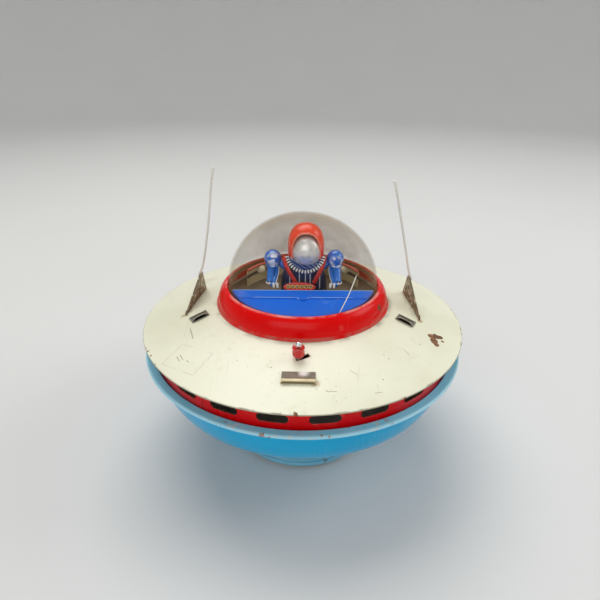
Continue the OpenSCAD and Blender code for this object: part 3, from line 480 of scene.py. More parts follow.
def bowl_look():
    """Blue printed tin with a lip painted paler as lit from above, a painted highlight on its
    rolled edge, chafed and rusty at the front.
    """
    look = Look("blue_lithograph", Coat_Weight=0.12, Coat_Roughness=0.06, Specular_IOR_Level=0.2)
    radius = look.radius()
    _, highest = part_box("lower_bowl")
    wall = look.mix(look.noise(20, 3), srgb(0, 176, 226), srgb(0, 158, 210))
    # The lip is painted paler than the wall, as lit from above; the rolled edge is paler still, a
    # painted highlight.
    lit_lip_tone = look.mix(look.noise(60, 4), srgb(146, 222, 248), srgb(124, 212, 244))
    rolled = look.step(radius, *BOWL_ROLL)
    lit_lip_tone = look.mix(look.both(rolled, 0.45), lit_lip_tone, srgb(196, 230, 240))
    lip = look.both(look.step(radius, *BOWL_LIP), look.past("Z", highest.z, -4, -3))
    look.colour(look.mix(lip, wall, lit_lip_tone))
    front_lip = look.both(lip, look.step(look.part("Y"), -0.062, -0.078))
    chafed = look.both(look.patches(170, 5, 0.55, 0.68, 0.65), front_lip)
    look.coat(chafed, srgb(216, 206, 188), 0.75)
    rusty = look.both(look.patches(240, 4, 0.62, 0.7), front_lip)
    look.coat(rusty, srgb(168, 112, 76), 0.8)
    inside = look.step(radius, *BOWL_INSIDE)
    look.coat(look.both(inside, look.step(normal_up(look), 0.1, 0.4)), TIN)
    lines = look.most(look.scratches(30, 800, 0.2, 0.61), look.scratches(26, 900, 1.4, 0.63))
    look.coat(lines, srgb(120, 196, 216), 0.14)
    pins = look.specks(420, 0.13, 50, 0.52)
    look.coat(pins, RUST_DARK, 0.7)
    look.roughness(look.most(chafed, rusty, pins), 0.2, 0.6)
    look.grain(60, 3, 0.05)
    look.grain(900, 2, 0.005)
    return look


def normal_up(look):
    geometry = look.add("ShaderNodeNewGeometry")
    return look.dot(geometry.outputs["Normal"], (0, 0, 1))


def worn_blue_look():
    look = Look("pale_blue_enamel", Coat_Weight=0.3, Coat_Roughness=0.2)
    look.clouded(srgb(126, 190, 210), srgb(98, 170, 196), 50, 4)
    lowest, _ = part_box("base_skirt")
    low = look.past("Z", lowest.z, 6, 0)
    rust = look.step(look.sum(look.noise(140, 5, 0.65), look.both(low, 0.08)), 0.62, 0.74)
    look.coat(rust, look.mix(look.noise(600, 3), RUST, RUST_DARK), 0.85)
    look.coat(look.patches(110, 4, 0.67, 0.74), srgb(190, 184, 170), 0.6)
    look.roughness(rust, 0.35, 0.8)
    look.bump(rust, 0.05)
    look.grain(120, 3, 0.06)
    return look


def tarnished_tin(name, tone, rust_share, rough=0.38, grain=300):
    """Bare tinplate, dull and blotched, with rust of a given share."""
    look = Look(name, metal=1.0)
    cloud = look.noise(grain * 0.4, 5, 0.6)
    look.colour(look.mix(look.step(cloud, 0.35, 0.7), tone, tuple(c * 0.6 for c in tone)))
    rust = look.patches(grain, 5, 0.78 - 0.4 * rust_share, 0.9 - 0.4 * rust_share, 0.65)
    look.coat(rust, look.mix(look.noise(900, 3), RUST, srgb(146, 92, 50)), 0.9)
    look.put("Metallic", look.less(1.0, look.both(rust, 0.85)))
    look.roughness(look.most(rust, look.both(cloud, 0.4)), rough, 0.85)
    look.grain(grain * 3, 3, 0.02)
    look.bump(rust, 0.04)
    return look


def turned_metal(name, tone, rough=0.3, grain=1500):
    """Machined metal with fine tool marks and a little grime."""
    look = Look(name, metal=1.0)
    grime = look.patches(180, 4, 0.5, 0.75)
    look.colour(look.mix(look.both(grime, 0.55), tone, tuple(c * 0.45 for c in tone)))
    look.roughness(look.most(grime, look.both(look.noise(grain, 2), 0.5)), rough, 0.6)
    look.grain(grain, 3, 0.006)
    return look


def moulded(name, tone, rough=0.3, coat=0.3, grain=300):
    """Moulded plastic with faint flow marks, dust and scuffs."""
    look = Look(name, Coat_Weight=coat, Coat_Roughness=0.1)
    look.clouded(tone, tuple(c * 0.8 for c in tone), grain * 0.3, 3)
    dust = look.patches(grain, 5, 0.6, 0.75, 0.6)
    look.coat(dust, tuple(0.7 * c + 0.2 for c in tone), 0.35)
    look.roughness(dust, rough, rough + 0.3)
    look.grain(grain * 2, 3, 0.01)
    return look


def dome_look():
    """Aged clear plastic: a warm haze that thickens where the wall is seen edge on."""
    look = Look("aged_clear_plastic", rough=0.07, Specular_IOR_Level=0.3)
    foot_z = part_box("dome")[0].z
    haze = look.noise(45, 5, 0.6)
    look.colour(look.mix(haze, srgb(196, 176, 128), srgb(156, 136, 92)))
    rim = look.add("ShaderNodeLayerWeight", {"Blend": 0.35})
    edge = look.calc("POWER", rim.outputs["Facing"], 2.6)
    rear = look.step(look.part("Y"), -0.01, 0.04)
    lift = look.sum(look.both(look.past("Z", foot_z, 1.5, 6), 0.65), 0.35)
    cloudy = look.sum(look.both(look.patches(70, 5, 0.35, 0.7, 0.65), 0.14), 0.3)
    dust = look.both(look.both(rear, lift), cloudy)
    foot = look.both(look.past("Z", foot_z, 4.5, 1), 0.06)
    lines = look.most(look.scratches(90, 700, 0.6, 0.62), look.scratches(80, 800, -0.7, 0.63))
    specks = look.both(look.specks(340, 0.08, 60, 0.5), 0.15)
    veil = look.both(edge, 0.42)
    for more in (look.both(haze, 0.03), dust, foot, look.both(lines, 0.02), specks):
        veil = look.sum(veil, more)
    look.put("Alpha", look.calc("MINIMUM", veil, 0.9))
    look.roughness(lines, 0.06, 0.14)
    look.grain(30, 2, 0.05)
    return look


def cowl_look():
    look = moulded("blue_cowl_enamel", srgb(0, 104, 222), 0.42, 0.0, 120)
    look.put("Specular IOR Level", 0.12)
    _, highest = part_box("cockpit_cowl")
    look.coat(look.scratches(120, 700, 1.3, 0.64), srgb(120, 170, 220), 0.12)
    # Pale blue along the top back edge: painted highlight.
    look.coat(look.past("Y", highest.y, -0.9, -0.35), srgb(150, 190, 226), 0.7)
    return look


def bulkhead_look():
    """Printed tin behind the pilot: a cream field with a dark stripe and a red top edge."""
    look = Look("bulkhead_print", 0.4, Coat_Weight=0.3)
    _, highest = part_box("rear_bulkhead")
    cream = look.mix(look.noise(90, 4), srgb(222, 206, 160), srgb(182, 164, 120))
    dark = look.mix(look.noise(120, 4), srgb(100, 82, 76), srgb(66, 54, 52))
    stripe = look.both(look.past("Z", highest.z, -5.6, -5.3), look.past("Z", highest.z, -3.4, -3.7))
    look.colour(look.mix(stripe, cream, dark))
    look.coat(look.past("Z", highest.z, -1.3, -1.0), srgb(204, 84, 70))
    look.grain(140, 3, 0.05)
    return look


def rubber_look():
    look = Look("black_rubber", 0.75)
    look.clouded((0.018, 0.018, 0.018), (0.05, 0.048, 0.045), 220, 4)
    dust = look.patches(90, 5, 0.55, 0.75)
    look.coat(dust, (0.16, 0.15, 0.13), 0.5)
    look.roughness(dust, 0.6, 0.9)
    look.grain(1200, 3, 0.03)
    return look


def pale_wire_look():
    """Tinned wire, matt and pale, with a few dark specks."""
    look = moulded("tinned_wire", srgb(244, 242, 230), 0.35, 0.3, 500)
    look.put("Metallic", 0.1)
    look.coat(look.specks(500, 0.2, 90, 0.5), srgb(96, 84, 66), 0.7)
    return look


def fin_look():
    """Tarnished perforated tin: dark above, rusty below, with bright spots above that are partly
    rubbed metal and partly painted glints.
    """
    look = Look("tarnished_fin", metal=1.0)
    look.clouded(srgb(150, 138, 112), srgb(84, 74, 58), 240, 5, 0.6)
    lowest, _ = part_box("left_antenna_fin")
    low = look.past("Z", lowest.z, 14, 4)
    rust = look.step(look.sum(look.noise(200, 4), look.both(low, 0.18)), 0.52, 0.64)
    rust = look.both(rust, 0.85)
    look.coat(rust, look.mix(look.noise(500, 3), srgb(140, 106, 70), srgb(98, 74, 50)))
    # Bright spots on the upper part: partly rubbed metal and partly painted glints.
    above = look.less(1.0, look.both(low, 0.4))
    rubbed = look.both(look.patches(420, 4, 0.5, 0.68), above)
    look.coat(rubbed, srgb(214, 206, 184))
    dull = look.most(look.both(rust, 0.7), look.both(rubbed, 0.3))
    look.put("Metallic", look.less(0.9, dull))
    look.roughness(rust, 0.38, 0.8)
    look.grain(700, 3, 0.05)
    look.bump(rubbed, 0.08)
    return look


def scoop_plating():
    """Plating of the front scoop: dull brown, with one bright patch that is a painted highlight and
    a pale lip that is a painted highlight.
    """
    look = Look("patchy_plating", metal=1.0)
    lowest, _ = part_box("front_scoop")
    cloud = look.noise(170, 5, 0.6)
    look.colour(look.mix(cloud, (0.34, 0.32, 0.26), (0.13, 0.12, 0.09)))
    # One bright patch on the top face: painted highlight.
    patch = look.near((0.4, -62.0, 80.2), 3.8, 2.0, 260, 3.2)
    look.coat(patch, (0.95, 0.94, 0.9), 0.9)
    # Pale lip: painted highlight along the rolled lip.
    lip = look.past("Y", lowest.y, 1.9, 1.6)
    look.coat(lip, look.mix(look.noise(300, 3), srgb(206, 194, 160), srgb(160, 142, 104)))
    fold = look.size(look.less(look.part("Y"), lowest.y + 1.9 * MM))
    look.coat(look.step(fold, 0.3 * MM, 0.12 * MM), RUST_DARK, 0.8)
    look.put("Metallic", look.less(1.0, look.both(look.most(lip, patch), 0.6)))
    look.roughness(cloud, 0.3, 0.55)
    look.grain(600, 3, 0.02)
    return look


# Moulded and enamelled finishes: name, screen colour, roughness, coat and the CAD nodes
MOULDED = (
    ("floor_enamel", (122, 106, 86), 0.5, 0.3, ("cockpit_floor",)),
    ("lamp_cream", (236, 226, 188), 0.2, 0.7, ("bulkhead_lamps",)),
    ("suit_navy", (16, 30, 74), 0.35, 0.4, ("pilot_torso",)),
    ("suit_blue", (40, 96, 172), 0.28, 0.6, ("pilot_left_arm", "pilot_right_arm")),
    ("flesh_plastic", (224, 178, 148), 0.5, 0.1, ("pilot_head",)),
    ("hood_orange", (255, 60, 4), 0.3, 0.15, ("pilot_hood",)),
    ("bead_white", (232, 232, 222), 0.25, 0.3, ("pilot_collar",)),
    ("strap_red", (206, 36, 26), 0.4, 0.2, ("pilot_straps", "control_panel")),
    ("dial_yellow", (204, 166, 84), 0.35, 0.3, ("panel_dials",)),
    ("knob_red", (216, 22, 16), 0.25, 0.6, ("lever_knob",)),
)

# Machined finishes: name, linear colour, roughness and the CAD nodes
TURNED = (
    ("bright_steel", (0.8, 0.8, 0.8), 0.12, ("pilot_visor", "knob_cap")),
    ("blued_spring", (0.12, 0.15, 0.22), 0.25, ("mainspring",)),
    ("brass", (0.62, 0.44, 0.17), 0.3, (
        "movement_bottom_plate", "movement_top_plate", "movement_pillars", "great_wheel",
        "second_wheel", "third_wheel", "governor_flywheel", "crown_wheel",
    )),
)


def node_looks():
    """The finish of each CAD node that isn't plain steel, by the node's name."""
    looks = {
        "upper_deck": deck_look(), "window_band": band_look(), "lower_bowl": bowl_look(),
        "base_skirt": worn_blue_look(), "dome_ring": ring_look(), "dome": dome_look(),
        "cockpit_cowl": cowl_look(), "rear_bulkhead": bulkhead_look(),
        "front_scoop": scoop_plating(),
    }
    for name, tone, rough, coat, nodes in MOULDED:
        looks |= dict.fromkeys(nodes, moulded(name, srgb(*tone), rough, coat))
    for name, tone, rough, nodes in TURNED:
        looks |= dict.fromkeys(nodes, turned_metal(name, tone, rough))
    plain = tarnished_tin("plain_tinplate", TIN, 0.25)
    chrome = tarnished_tin("worn_plating", (0.4, 0.38, 0.32), 0.42, 0.2, 260)
    for look, nodes in (
        (plain, ("base_plate", "stop_lever", "winding_key", "axle_frame", "guide_bracket")),
        (chrome, ("left_scoop", "right_scoop")),
        (fin_look(), ("left_antenna_fin", "right_antenna_fin")),
        (pale_wire_look(), ("left_antenna_wire", "right_antenna_wire")),
        (rubber_look(), ("left_drive_wheel", "right_drive_wheel", "guide_wheel")),
    ):
        looks |= dict.fromkeys(nodes, look)
    return looks


def dress_nodes(looks):
    steel = turned_metal("steel", (0.5, 0.5, 0.5), 0.28)
    for name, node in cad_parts.items():
        looks.get(name, steel).dress(node)


# ---- Shapes: lists of corners in millimetres, with their faces ----

def grid(rows, wrap=False, cap=False):
    """Faces between rows of equal length; wrap closes each row, cap fills the two ends."""
    count = len(rows[0])
    corners = [tuple(corner) for row in rows for corner in row]
    faces = []
    last = count if wrap else count - 1
    for i in range(len(rows) - 1):
        for k in range(last):
            a, b = i * count + k, i * count + (k + 1) % count
            faces.append((a, b, b + count, a + count))
    if cap:
        faces.append(tuple(range(count))[::-1])
        faces.append(tuple(range(len(corners) - count, len(corners))))
    return corners, faces


def shares(steps):
    """Equal steps from 0 to 1, both ends included."""
    return [k / steps for k in range(steps + 1)]


def turns(count):
    """Equal steps of angle once round, in radians."""
    return [2 * pi * k / count for k in range(count)]


def straight(start, end, steps):
    return [start.lerp(end, t) for t in shares(steps)]


def blunted(value, power):
    """A signed power, which makes an oval drawn with cosine and sine blunter."""
    return copysign(abs(value) ** power, value)


def merged(*shapes):
    corners, faces = [], []
    for more_corners, more_faces in shapes:
        start = len(corners)
        corners += more_corners
        faces += [tuple(start + k for k in face) for face in more_faces]
    return corners, faces


def hoop(radius, wide, high, centre, sides, steps=48):
    """A ring of oval section round an upright axis."""
    profile = [(radius + wide * cos(t), high * sin(t)) for t in turns(sides)]
    rows = []
    for i in range(steps + 1):
        turn = 2 * pi * i / steps
        rows.append([Vector((r * cos(turn), r * sin(turn), z)) + centre for r, z in profile])
    return grid(rows, wrap=True)


def smooth_path(points, per_span=6):
    """A smooth curve through the points."""
    points = [Vector(p) for p in points]
    ends = [2 * points[0] - points[1]] + points + [2 * points[-1] - points[-2]]
    path = []
    for i in range(1, len(ends) - 2):
        p0, p1, p2, p3 = ends[i - 1:i + 3]
        for k in range(per_span):
            t = k / per_span
            path.append(0.5 * (
                2 * p1 + (p2 - p0) * t + (2 * p0 - 5 * p1 + 4 * p2 - p3) * t * t
                + (3 * p1 - p0 - 3 * p2 + p3) * t ** 3
            ))
    return path + [points[-1]]


def sweep(path, radius, sides=12, flat=1.0, up=(0, 0, 1), closed=False):
    """A tube along a path; radius is a number or a function of the share travelled."""
    rows, count = [], len(path)
    side_hint = Vector(up)
    for i, point in enumerate(path):
        before = path[(i - 1) % count] if closed or i else point
        after = path[(i + 1) % count] if closed or i < count - 1 else point
        ahead = (after - before).normalized()
        across = ahead.cross(side_hint).normalized()
        over = across.cross(ahead)
        size = radius(i / (count - 1)) if callable(radius) else radius
        rows.append([
            point + size * (cos(a) * across + flat * sin(a) * over)
            for a in turns(sides)
        ])
    if closed:
        rows.append(rows[0])
    return grid(rows, wrap=True, cap=not closed)


def rounded(size, share):
    """Radius of a tube with domed ends, which take up the given share of its length."""
    def radius(t):
        edge = min(t, 1 - t) / share
        return size * sqrt(max(0.03, 1 - (1 - min(edge, 1)) ** 2))
    return radius


def capsule(start, end, size, flat=1.0, up=(0, 0, 1)):
    start, end = Vector(start), Vector(end)
    ends = rounded(size, min(0.5, size / (end - start).length))
    return sweep(straight(start, end, 12), ends, 12, flat, up)


def ellipsoid(centre, radii, rings, pole, angles):
    """Rows of corners from near the top of an ellipsoid to near its foot."""
    rows = []
    for share in shares(rings):
        tilt = pi * (pole + (1 - 2 * pole) * share)
        rows.append([
            Vector(centre) + Vector((
                radii[0] * sin(tilt) * cos(a),
                radii[1] * sin(tilt) * sin(a),
                radii[2] * cos(tilt),
            ))
            for a in angles
        ])
    return rows


def ball(centre, radii, rings=20, sides=32):
    return grid(ellipsoid(centre, radii, rings, 0.002, turns(sides)), wrap=True, cap=True)


def add_piece(name, shape, look, body="root", replaces=()):
    """Makes a smooth-shaded piece from a shape and lets it ride on a body."""
    corners, faces = shape
    mesh = bpy.data.meshes.new(name)
    mesh.from_pydata([Vector(corner) * MM for corner in corners], [], faces)
    work = bmesh.new()
    work.from_mesh(mesh)
    bmesh.ops.remove_doubles(work, verts=work.verts, dist=1e-7)
    bmesh.ops.recalc_face_normals(work, faces=work.faces)
    work.to_mesh(mesh)
    work.free()
    mesh.shade_smooth()
    mesh.set_sharp_from_angle(angle=radians(50))
    piece = placed(name, mesh)
    look.dress(piece)
    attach(piece, body)
    if replaces:
        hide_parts(*replaces)
    return piece


def solidify(piece, thickness_mm, offset=-1.0):
    shell = piece.modifiers.new("wall", "SOLIDIFY")
    shell.thickness = thickness_mm * MM
    shell.offset = offset


# ---- The pilot ----

HEAD_X = 1.5
CHEST_X = 0.5


def hood_section(y, centre, radius, rise, foot_z):
    """An arch of the hood: round over the top, with legs straight down."""
    share = sqrt(max(1e-6, 1 - ((y - centre.y) / radius) ** 2))
    blunt = 0.86
    arch = [
        Vector((
            centre.x + radius * share * blunted(sin(a), blunt),
            y,
            centre.z + rise * share * cos(a) ** blunt,
        ))
        for a in (pi * (t - 0.5) for t in shares(36))
    ]

    def leg(top):
        return straight(top, Vector((top.x, top.y, foot_z)), 8)[1:]

    return leg(arch[0])[::-1] + arch + leg(arch[-1])


def add_hood(look, rim_look):
    centre = Vector((HEAD_X, 5.0, 110.0))
    radius, rise, foot_z = 9.3, 12.9, 103.0
    front, back = centre.y - 0.66 * radius, centre.y + radius
    places = [front + (back - front) * sin(0.5 * pi * t) for t in shares(26)]
    rows = [hood_section(y, centre, radius, rise, foot_z) for y in places]
    hood = add_piece("hood_shell", grid(rows), look, replaces=["pilot_hood"])
    solidify(hood, 0.8)
    rim = [p + Vector((0, -0.1, 0)) for p in rows[0]]
    add_piece("hood_rim", sweep(rim, 0.5, 10, up=(0, 1, 0)), rim_look)
    add_piece("hood_seam", sweep(rows[9], 0.22, 8, up=(0, 1, 0)), look)


def add_visor(look):
    front_half = [pi * t for t in shares(36)]
    rows = ellipsoid((HEAD_X + 0.1, 2.0, 109.3), (-7.6, -7.9, 9.2), 28, 0.01, front_half)
    visor = add_piece("visor_shell", grid(rows), look, replaces=["pilot_visor"])
    solidify(visor, 0.5)


def collar_point(a, grow=0.0, back=0.0):
    """Point of the U-shaped collar at an angle round the neck, grown outward."""
    drop = -sin(a)
    return Vector((
        1.2 + (9.3 + grow) * cos(a),
        0.2 - 5.6 * drop + back,
        108.0 - (7.0 + grow) * drop,
    ))


def add_collar(bar_look, cord_look, neck_look):
    first, last = radians(188), radians(352)
    shapes = [
        capsule(collar_point(a, -0.95), collar_point(a, 0.95, -0.35), 0.46, 0.8, (0, 1, 0.3))
        for a in (first + (last - first) * t for t in shares(18))
    ]
    add_piece("collar_bars", merged(*shapes), bar_look, replaces=["pilot_collar"])
    cord = [collar_point(first + (last - first) * t, 0.0, 0.3) for t in shares(60)]
    add_piece("collar_band", sweep(cord, 0.62, 10, up=(0, 1, 0)), cord_look)
    rows = []
    for i, share in enumerate(shares(96)):
        a = radians(192 + 156 * share)
        crease = 0.11 * cos(i * pi)
        rows.append([
            collar_point(a, grow, back + crease)
            for grow, back in ((-0.6, 0.5), (-1.4, 0.35), (-2.3, 0.5), (-3.3, 0.9), (-4.4, 1.6))
        ])
    neck = add_piece("neck_pleats", grid(rows), neck_look)
    solidify(neck, 0.3, 1.0)


# Height in mm, half width, half depth and middle depth of the chest's sections
CHEST = (
    (83.6, 11.2, 5.4, 2.5), (84.2, 12.0, 6.0, 2.5), (91.0, 12.0, 6.0, 2.5),
    (96.0, 11.5, 5.4, 2.1), (99.0, 10.4, 5.0, 1.8), (100.8, 8.4, 4.8, 1.5),
    (101.8, 6.0, 4.2, 1.3), (102.2, 3.4, 2.6, 1.2),
)


# Power of the chest's blunt oval section
CHEST_BLUNT = 2.6


def chest_section(z):
    """Chest sizes at a height, between the given sections."""
    for low, high in zip(CHEST, CHEST[1:]):
        if z <= high[0]:
            t = max(0.0, (z - low[0]) / (high[0] - low[0]))
            return [a + (b - a) * t for a, b in zip(low, high)]
    return list(CHEST[-1])


def chest_front(x, z, proud):
    """Point on the chest's front at a place across and up."""
    _, wide, deep, back = chest_section(z)
    across = min(0.999, abs(x - CHEST_X) / wide)
    bulge = (1 - across ** CHEST_BLUNT) ** (1 / CHEST_BLUNT)
    return Vector((x, back - deep * bulge - proud, z))


def add_torso(look, rib_look):
    rows = [
        [
            Vector((
                CHEST_X + wide * blunted(cos(a), 2 / CHEST_BLUNT),
                back + deep * blunted(sin(a), 2 / CHEST_BLUNT),
                z,
            ))
            for a in turns(56)
        ]
        for z, wide, deep, back in CHEST
    ]
    shape = grid(rows, wrap=True, cap=True)
    add_piece("chest", shape, look, replaces=["pilot_torso"])
    ribs = []
    for offset, low, high in (
        (-8.2, 90, 100), (-3.3, 91, 99.2), (-0.2, 90, 99.4), (2.2, 91, 99.2), (7.1, 90, 99.6),
    ):
        path = [chest_front(HEAD_X + offset, low + (high - low) * t, 0.05) for t in shares(16)]
        ribs.append(sweep(path, rounded(0.3, 0.08), 8, up=(1, 0, 0)))
    add_piece("chest_piping", merged(*ribs), rib_look)


def add_straps(look):
    """Two flat straps from the shoulders to the chest."""
    downs = ((1.0, 107.0), (-2.2, 103.6), (-4.1, 100.2), (-4.9, 97.2), (-5.0, 94.4))
    straps = []
    for across in ((-9.5, -8.8, -6.9, -5.0, -3.7), (10.9, 10.1, 8.4, 6.8, 5.5)):
        route = [(x, y, z) for x, (y, z) in zip(across, downs)]
        straps.append(sweep(smooth_path(route, 8), rounded(1.15, 0.04), 14, 0.3, up=(0, 1, 0.4)))
    add_piece("shoulder_straps", merged(*straps), look, replaces=["pilot_straps"])


def add_arm(side, name, node, pad_look, sleeve_look, trim_look):
    def off(point, x, y, z):
        """A place off a point, with x counted outward from the body."""
        return point + Vector((side * x, y, z))

    middle = Vector((CHEST_X, 0, 0))
    shoulder, elbow = off(middle, 16, 3, 105), off(middle, 16.6, 1.2, 99.6)
    wrist = off(middle, 17.1, -4.8, 94.8)
    hand = off(wrist, -1.6, -2.2, -0.8)
    pad = merged(
        ball(shoulder, (4.45, 4.3, 4.45)),
        hoop(3.3, 0.35, 0.5, off(shoulder, 0, -0.3, -3.3), 12),
        capsule(off(shoulder, -3.4, 0.6, -1.4), off(middle, 9.6, 2.4, 99.4), 1.7),
    )
    add_piece(name + "_shoulder", pad, pad_look, replaces=[node])
    upper = smooth_path([off(shoulder, 0, -0.5, -2.8), elbow, wrist], 9)
    folds = sweep(upper, lambda t: 2.75 - 0.85 * t + 0.14 * sin(t * 34), 20)
    inner = smooth_path([
        off(shoulder, -2.2, -0.2, -3.4), off(elbow, -2.6, -1.6, -1.6), off(wrist, -1.6, -1.2, -0.6),
    ], 9)
    palm = capsule(off(wrist, 0, -0.8, -0.4), off(hand, -0.6, 0.4, 0.3), 1.35)
    sleeve = merged(folds, sweep(inner, 1.05, 14), palm)
    add_piece(name + "_sleeve", sleeve, sleeve_look)
    edge = [off(p, -1.0, -0.55, 0) for p in inner]
    # A white line down the front of the upper sleeve: painted highlight.
    sleeve_highlight_line = [off(p, 0.4, -2.55 + 0.7 * i / 18, 0) for i, p in enumerate(upper)]
    cuff = hoop(2.0, 0.3, 0.4, off(wrist, 0, 0.1, 0.1), 10, 24)
    piping = merged(sweep(edge, 0.24, 8), sweep(sleeve_highlight_line[3:], 0.22, 8), cuff)
    add_piece(name + "_piping", piping, trim_look)
    fingers = [
        capsule(off(hand, -0.1 - x, 0.4, 1.5), off(hand, -0.4 - x, -0.9, -1.0), 0.6)
        for x in (0.0, 1.9)
    ]
    add_piece(name + "_glove", merged(*fingers), trim_look)


# ---- Control panel ----

PANEL_TILT = radians(34)


def on_panel(x, y, z=0.0):
    """A point of the tilted panel face, y up the slope and z out of it."""
    centre = Vector((-1.7, -8.0, 93.7))
    return centre + Vector((
        x,
        y * cos(PANEL_TILT) - z * sin(PANEL_TILT),
        y * sin(PANEL_TILT) + z * cos(PANEL_TILT),
    ))


def oval(a, b, z, count=64, x=0.0, y=0.0):
    """A ring of places round a point of the panel face, at a height over it."""
    return [on_panel(x + a * cos(t), y + b * sin(t), z) for t in turns(count)]


def add_panel(look, ring_look, dark_look, post_look):
    """A red dish on a stalk, with six dials in a row."""
    dish = grid([
        oval(0.4, 0.1, -1.6), oval(6.6, 1.6, -1.5), oval(7.6, 2.4, -1.0), oval(8.1, 2.8, -0.2),
        oval(8.0, 2.75, 0.25), oval(7.6, 2.4, 0.3), oval(7.3, 2.1, 0.0), oval(0.4, 0.1, 0.0),
    ], wrap=True, cap=True)
    stalk = [Vector(p) for p in ((-1.0, -7.0, 84.0), (-1.1, -7.2, 90.0), (-1.5, -7.6, 92.8))]
    dish = merged(dish, sweep(stalk, 1.1, 16, up=(0, 1, 0)))
    add_piece("panel_dish", dish, look, replaces=["control_panel"])
    face_up = on_panel(0, 0, 1) - on_panel(0, 0, 0)
    rings, discs, needles = [], [], []
    y = 0.1
    for i in range(6):
        x = (i - 2.5) * 2.25
        aim = 0.5 + 0.8 * i
        tip = on_panel(x + 0.6 * cos(aim), y + 0.6 * sin(aim), 0.24)
        rings.append(sweep(oval(0.86, 0.86, 0.22, 20, x, y), 0.24, 8, up=face_up, closed=True))
        disc = [oval(r, r, z, 20, x, y) for r, z in ((0.8, 0.0), (0.8, 0.16), (0.05, 0.2))]
        discs.append(grid(disc, wrap=True, cap=True))
        needles.append(capsule(on_panel(x, y, 0.24), tip, 0.1))
    add_piece("dial_rings", merged(*rings), ring_look, replaces=["panel_dials"])
    add_piece("dial_faces", merged(*discs), dark_look)
    add_piece("dial_needles", merged(*needles), post_look)


# ---- Cowl edge, dome, windows and antennas ----

def add_cowl_edge_highlights(look):
    """Bright lines along the cowl's crease and its V-shaped notch: painted highlights."""
    front, top, half_notch = -19.2, 93.46, 3.0
    crease = [Vector(p) for p in (
        (-25.0, front, top), (-half_notch, front, top), (0.0, -21.6, 92.8),
        (half_notch, front, top), (25.0, front, top),
    )]
    runs = []
    for start, end, thick in zip(crease, crease[1:], (0.13, 0.2, 0.2, 0.13)):
        runs.append(sweep(straight(start, end, 10), rounded(thick, 0.06), 8, 0.6))
    add_piece("cowl_edge_highlights", merged(*runs), look)


def add_dome_crack(look):
    """A pale crack that follows the dome's wall and, above it, its round cap."""
    marks = (
        (24.9, -24.5, 107.9), (23.2, -27.8, 104.8), (21.5, -30.3, 101.5), (19.3, -32.6, 97.4),
        (16.6, -34.1, 92.5),
    )
    _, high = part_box("dome")
    cap_z, radius = 94.3, 37.75
    rise = high.z / MM - cap_z - 0.3
    centre = Vector((0, 0, cap_z))
    path = []
    for point in smooth_path(marks, 8):
        offset = point - centre
        across = hypot(offset.x, offset.y)
        if offset.z > 0:
            path.append(centre + offset / hypot(across / radius, offset.z / rise))
        else:
            path.append(Vector((offset.x * radius / across, offset.y * radius / across, point.z)))
    add_piece("dome_crack", sweep(path, rounded(0.24, 0.12), 8), look)


# The band's windows: how many, width and height, middle's height, and the first one's azimuth
WINDOWS = 22
WINDOW_SIZE = (13.8, 4.4)
WINDOW_Z = 66.3
FIRST_WINDOW = 7


def add_window_rims(look):
    """A thin raised edge round each window of the red band."""
    _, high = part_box("window_band")
    radius = high.x / MM + 0.02
    round_r = WINDOW_SIZE[1] / 2
    half = WINDOW_SIZE[0] / 2 - round_r
    ends = [-pi / 2 + pi * t for t in shares(12)]
    outline = [(half + round_r * cos(a), round_r * sin(a)) for a in ends]
    outline += [(-x, -y) for x, y in outline]
    rims = []
    for i in range(WINDOWS):
        turn = radians(FIRST_WINDOW + i * 360 / WINDOWS - 90)
        rims.append(window_rim([
            Vector((
                radius * cos(turn + x / radius), radius * sin(turn + x / radius),
                WINDOW_Z + y,
            ))
            for x, y in outline
        ]))
    add_piece("window_rims", merged(*rims), look)


def window_rim(path):
    rows, count = [], len(path)
    for i, point in enumerate(path):
        ahead = (path[(i + 1) % count] - path[i - 1]).normalized()
        out = Vector((point.x, point.y, 0)).normalized()
        across = ahead.cross(out)
        rows.append([
            point + 0.11 * cos(t) * across + 0.1 * sin(t) * out
            for t in turns(8)
        ])
    return grid(rows + [rows[0]], wrap=True)


def add_wire(name, node, look, points):
    path = smooth_path(points, 12)
    wire = sweep(path, 0.58, 14, up=(0, 1, 0))
    crimp = sweep(straight(path[0], path[12], 5), lambda t: 0.95 - 0.25 * t, 14, up=(0, 1, 0))
    tip = ball(path[-1], (0.56, 0.56, 0.56), 10, 14)
    add_piece(name, merged(wire, crimp, tip), look, replaces=[node])


def add_wires(look):
    add_wire("left_aerial", "left_antenna_wire", look, (
        (-54.6, 6.0, 93.4), (-53.6, 5.5, 96.4), (-52.3, 5.2, 99.4), (-49.7, 5.0, 111.0),
        (-47.1, 4.7, 126.0), (-45.1, 4.3, 140.0), (-43.2, 4.0, 150.4)))
    add_wire("right_aerial", "right_antenna_wire", look, (
        (56.3, 2.2, 93.4), (55.5, 2.4, 96.4), (54.6, 2.6, 99.4), (52.5, 2.9, 109.0),
        (49.2, 3.3, 123.0), (45.9, 3.7, 136.5), (44.0, 3.9, 143.6), (43.3, 4.0, 144.4)))


# ---- Louvres on the deck ----

DECK_SLOPE = 0.27441
DECK_HOLE_R = 41.0


def deck_frame(r, azimuth, face):
    """Axes that lie on the deck cone at a radius and azimuth in mm and degrees."""
    _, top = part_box("upper_deck")
    height = top.z / MM - (r - DECK_HOLE_R) * DECK_SLOPE
    return (
        Matrix.Rotation(radians(azimuth), 4, "Z")
        @ Matrix.Translation((0, -r, height))
        @ Matrix.Rotation(atan(DECK_SLOPE), 4, "X")
        @ Matrix.Rotation(radians(face), 4, "Z")
    )


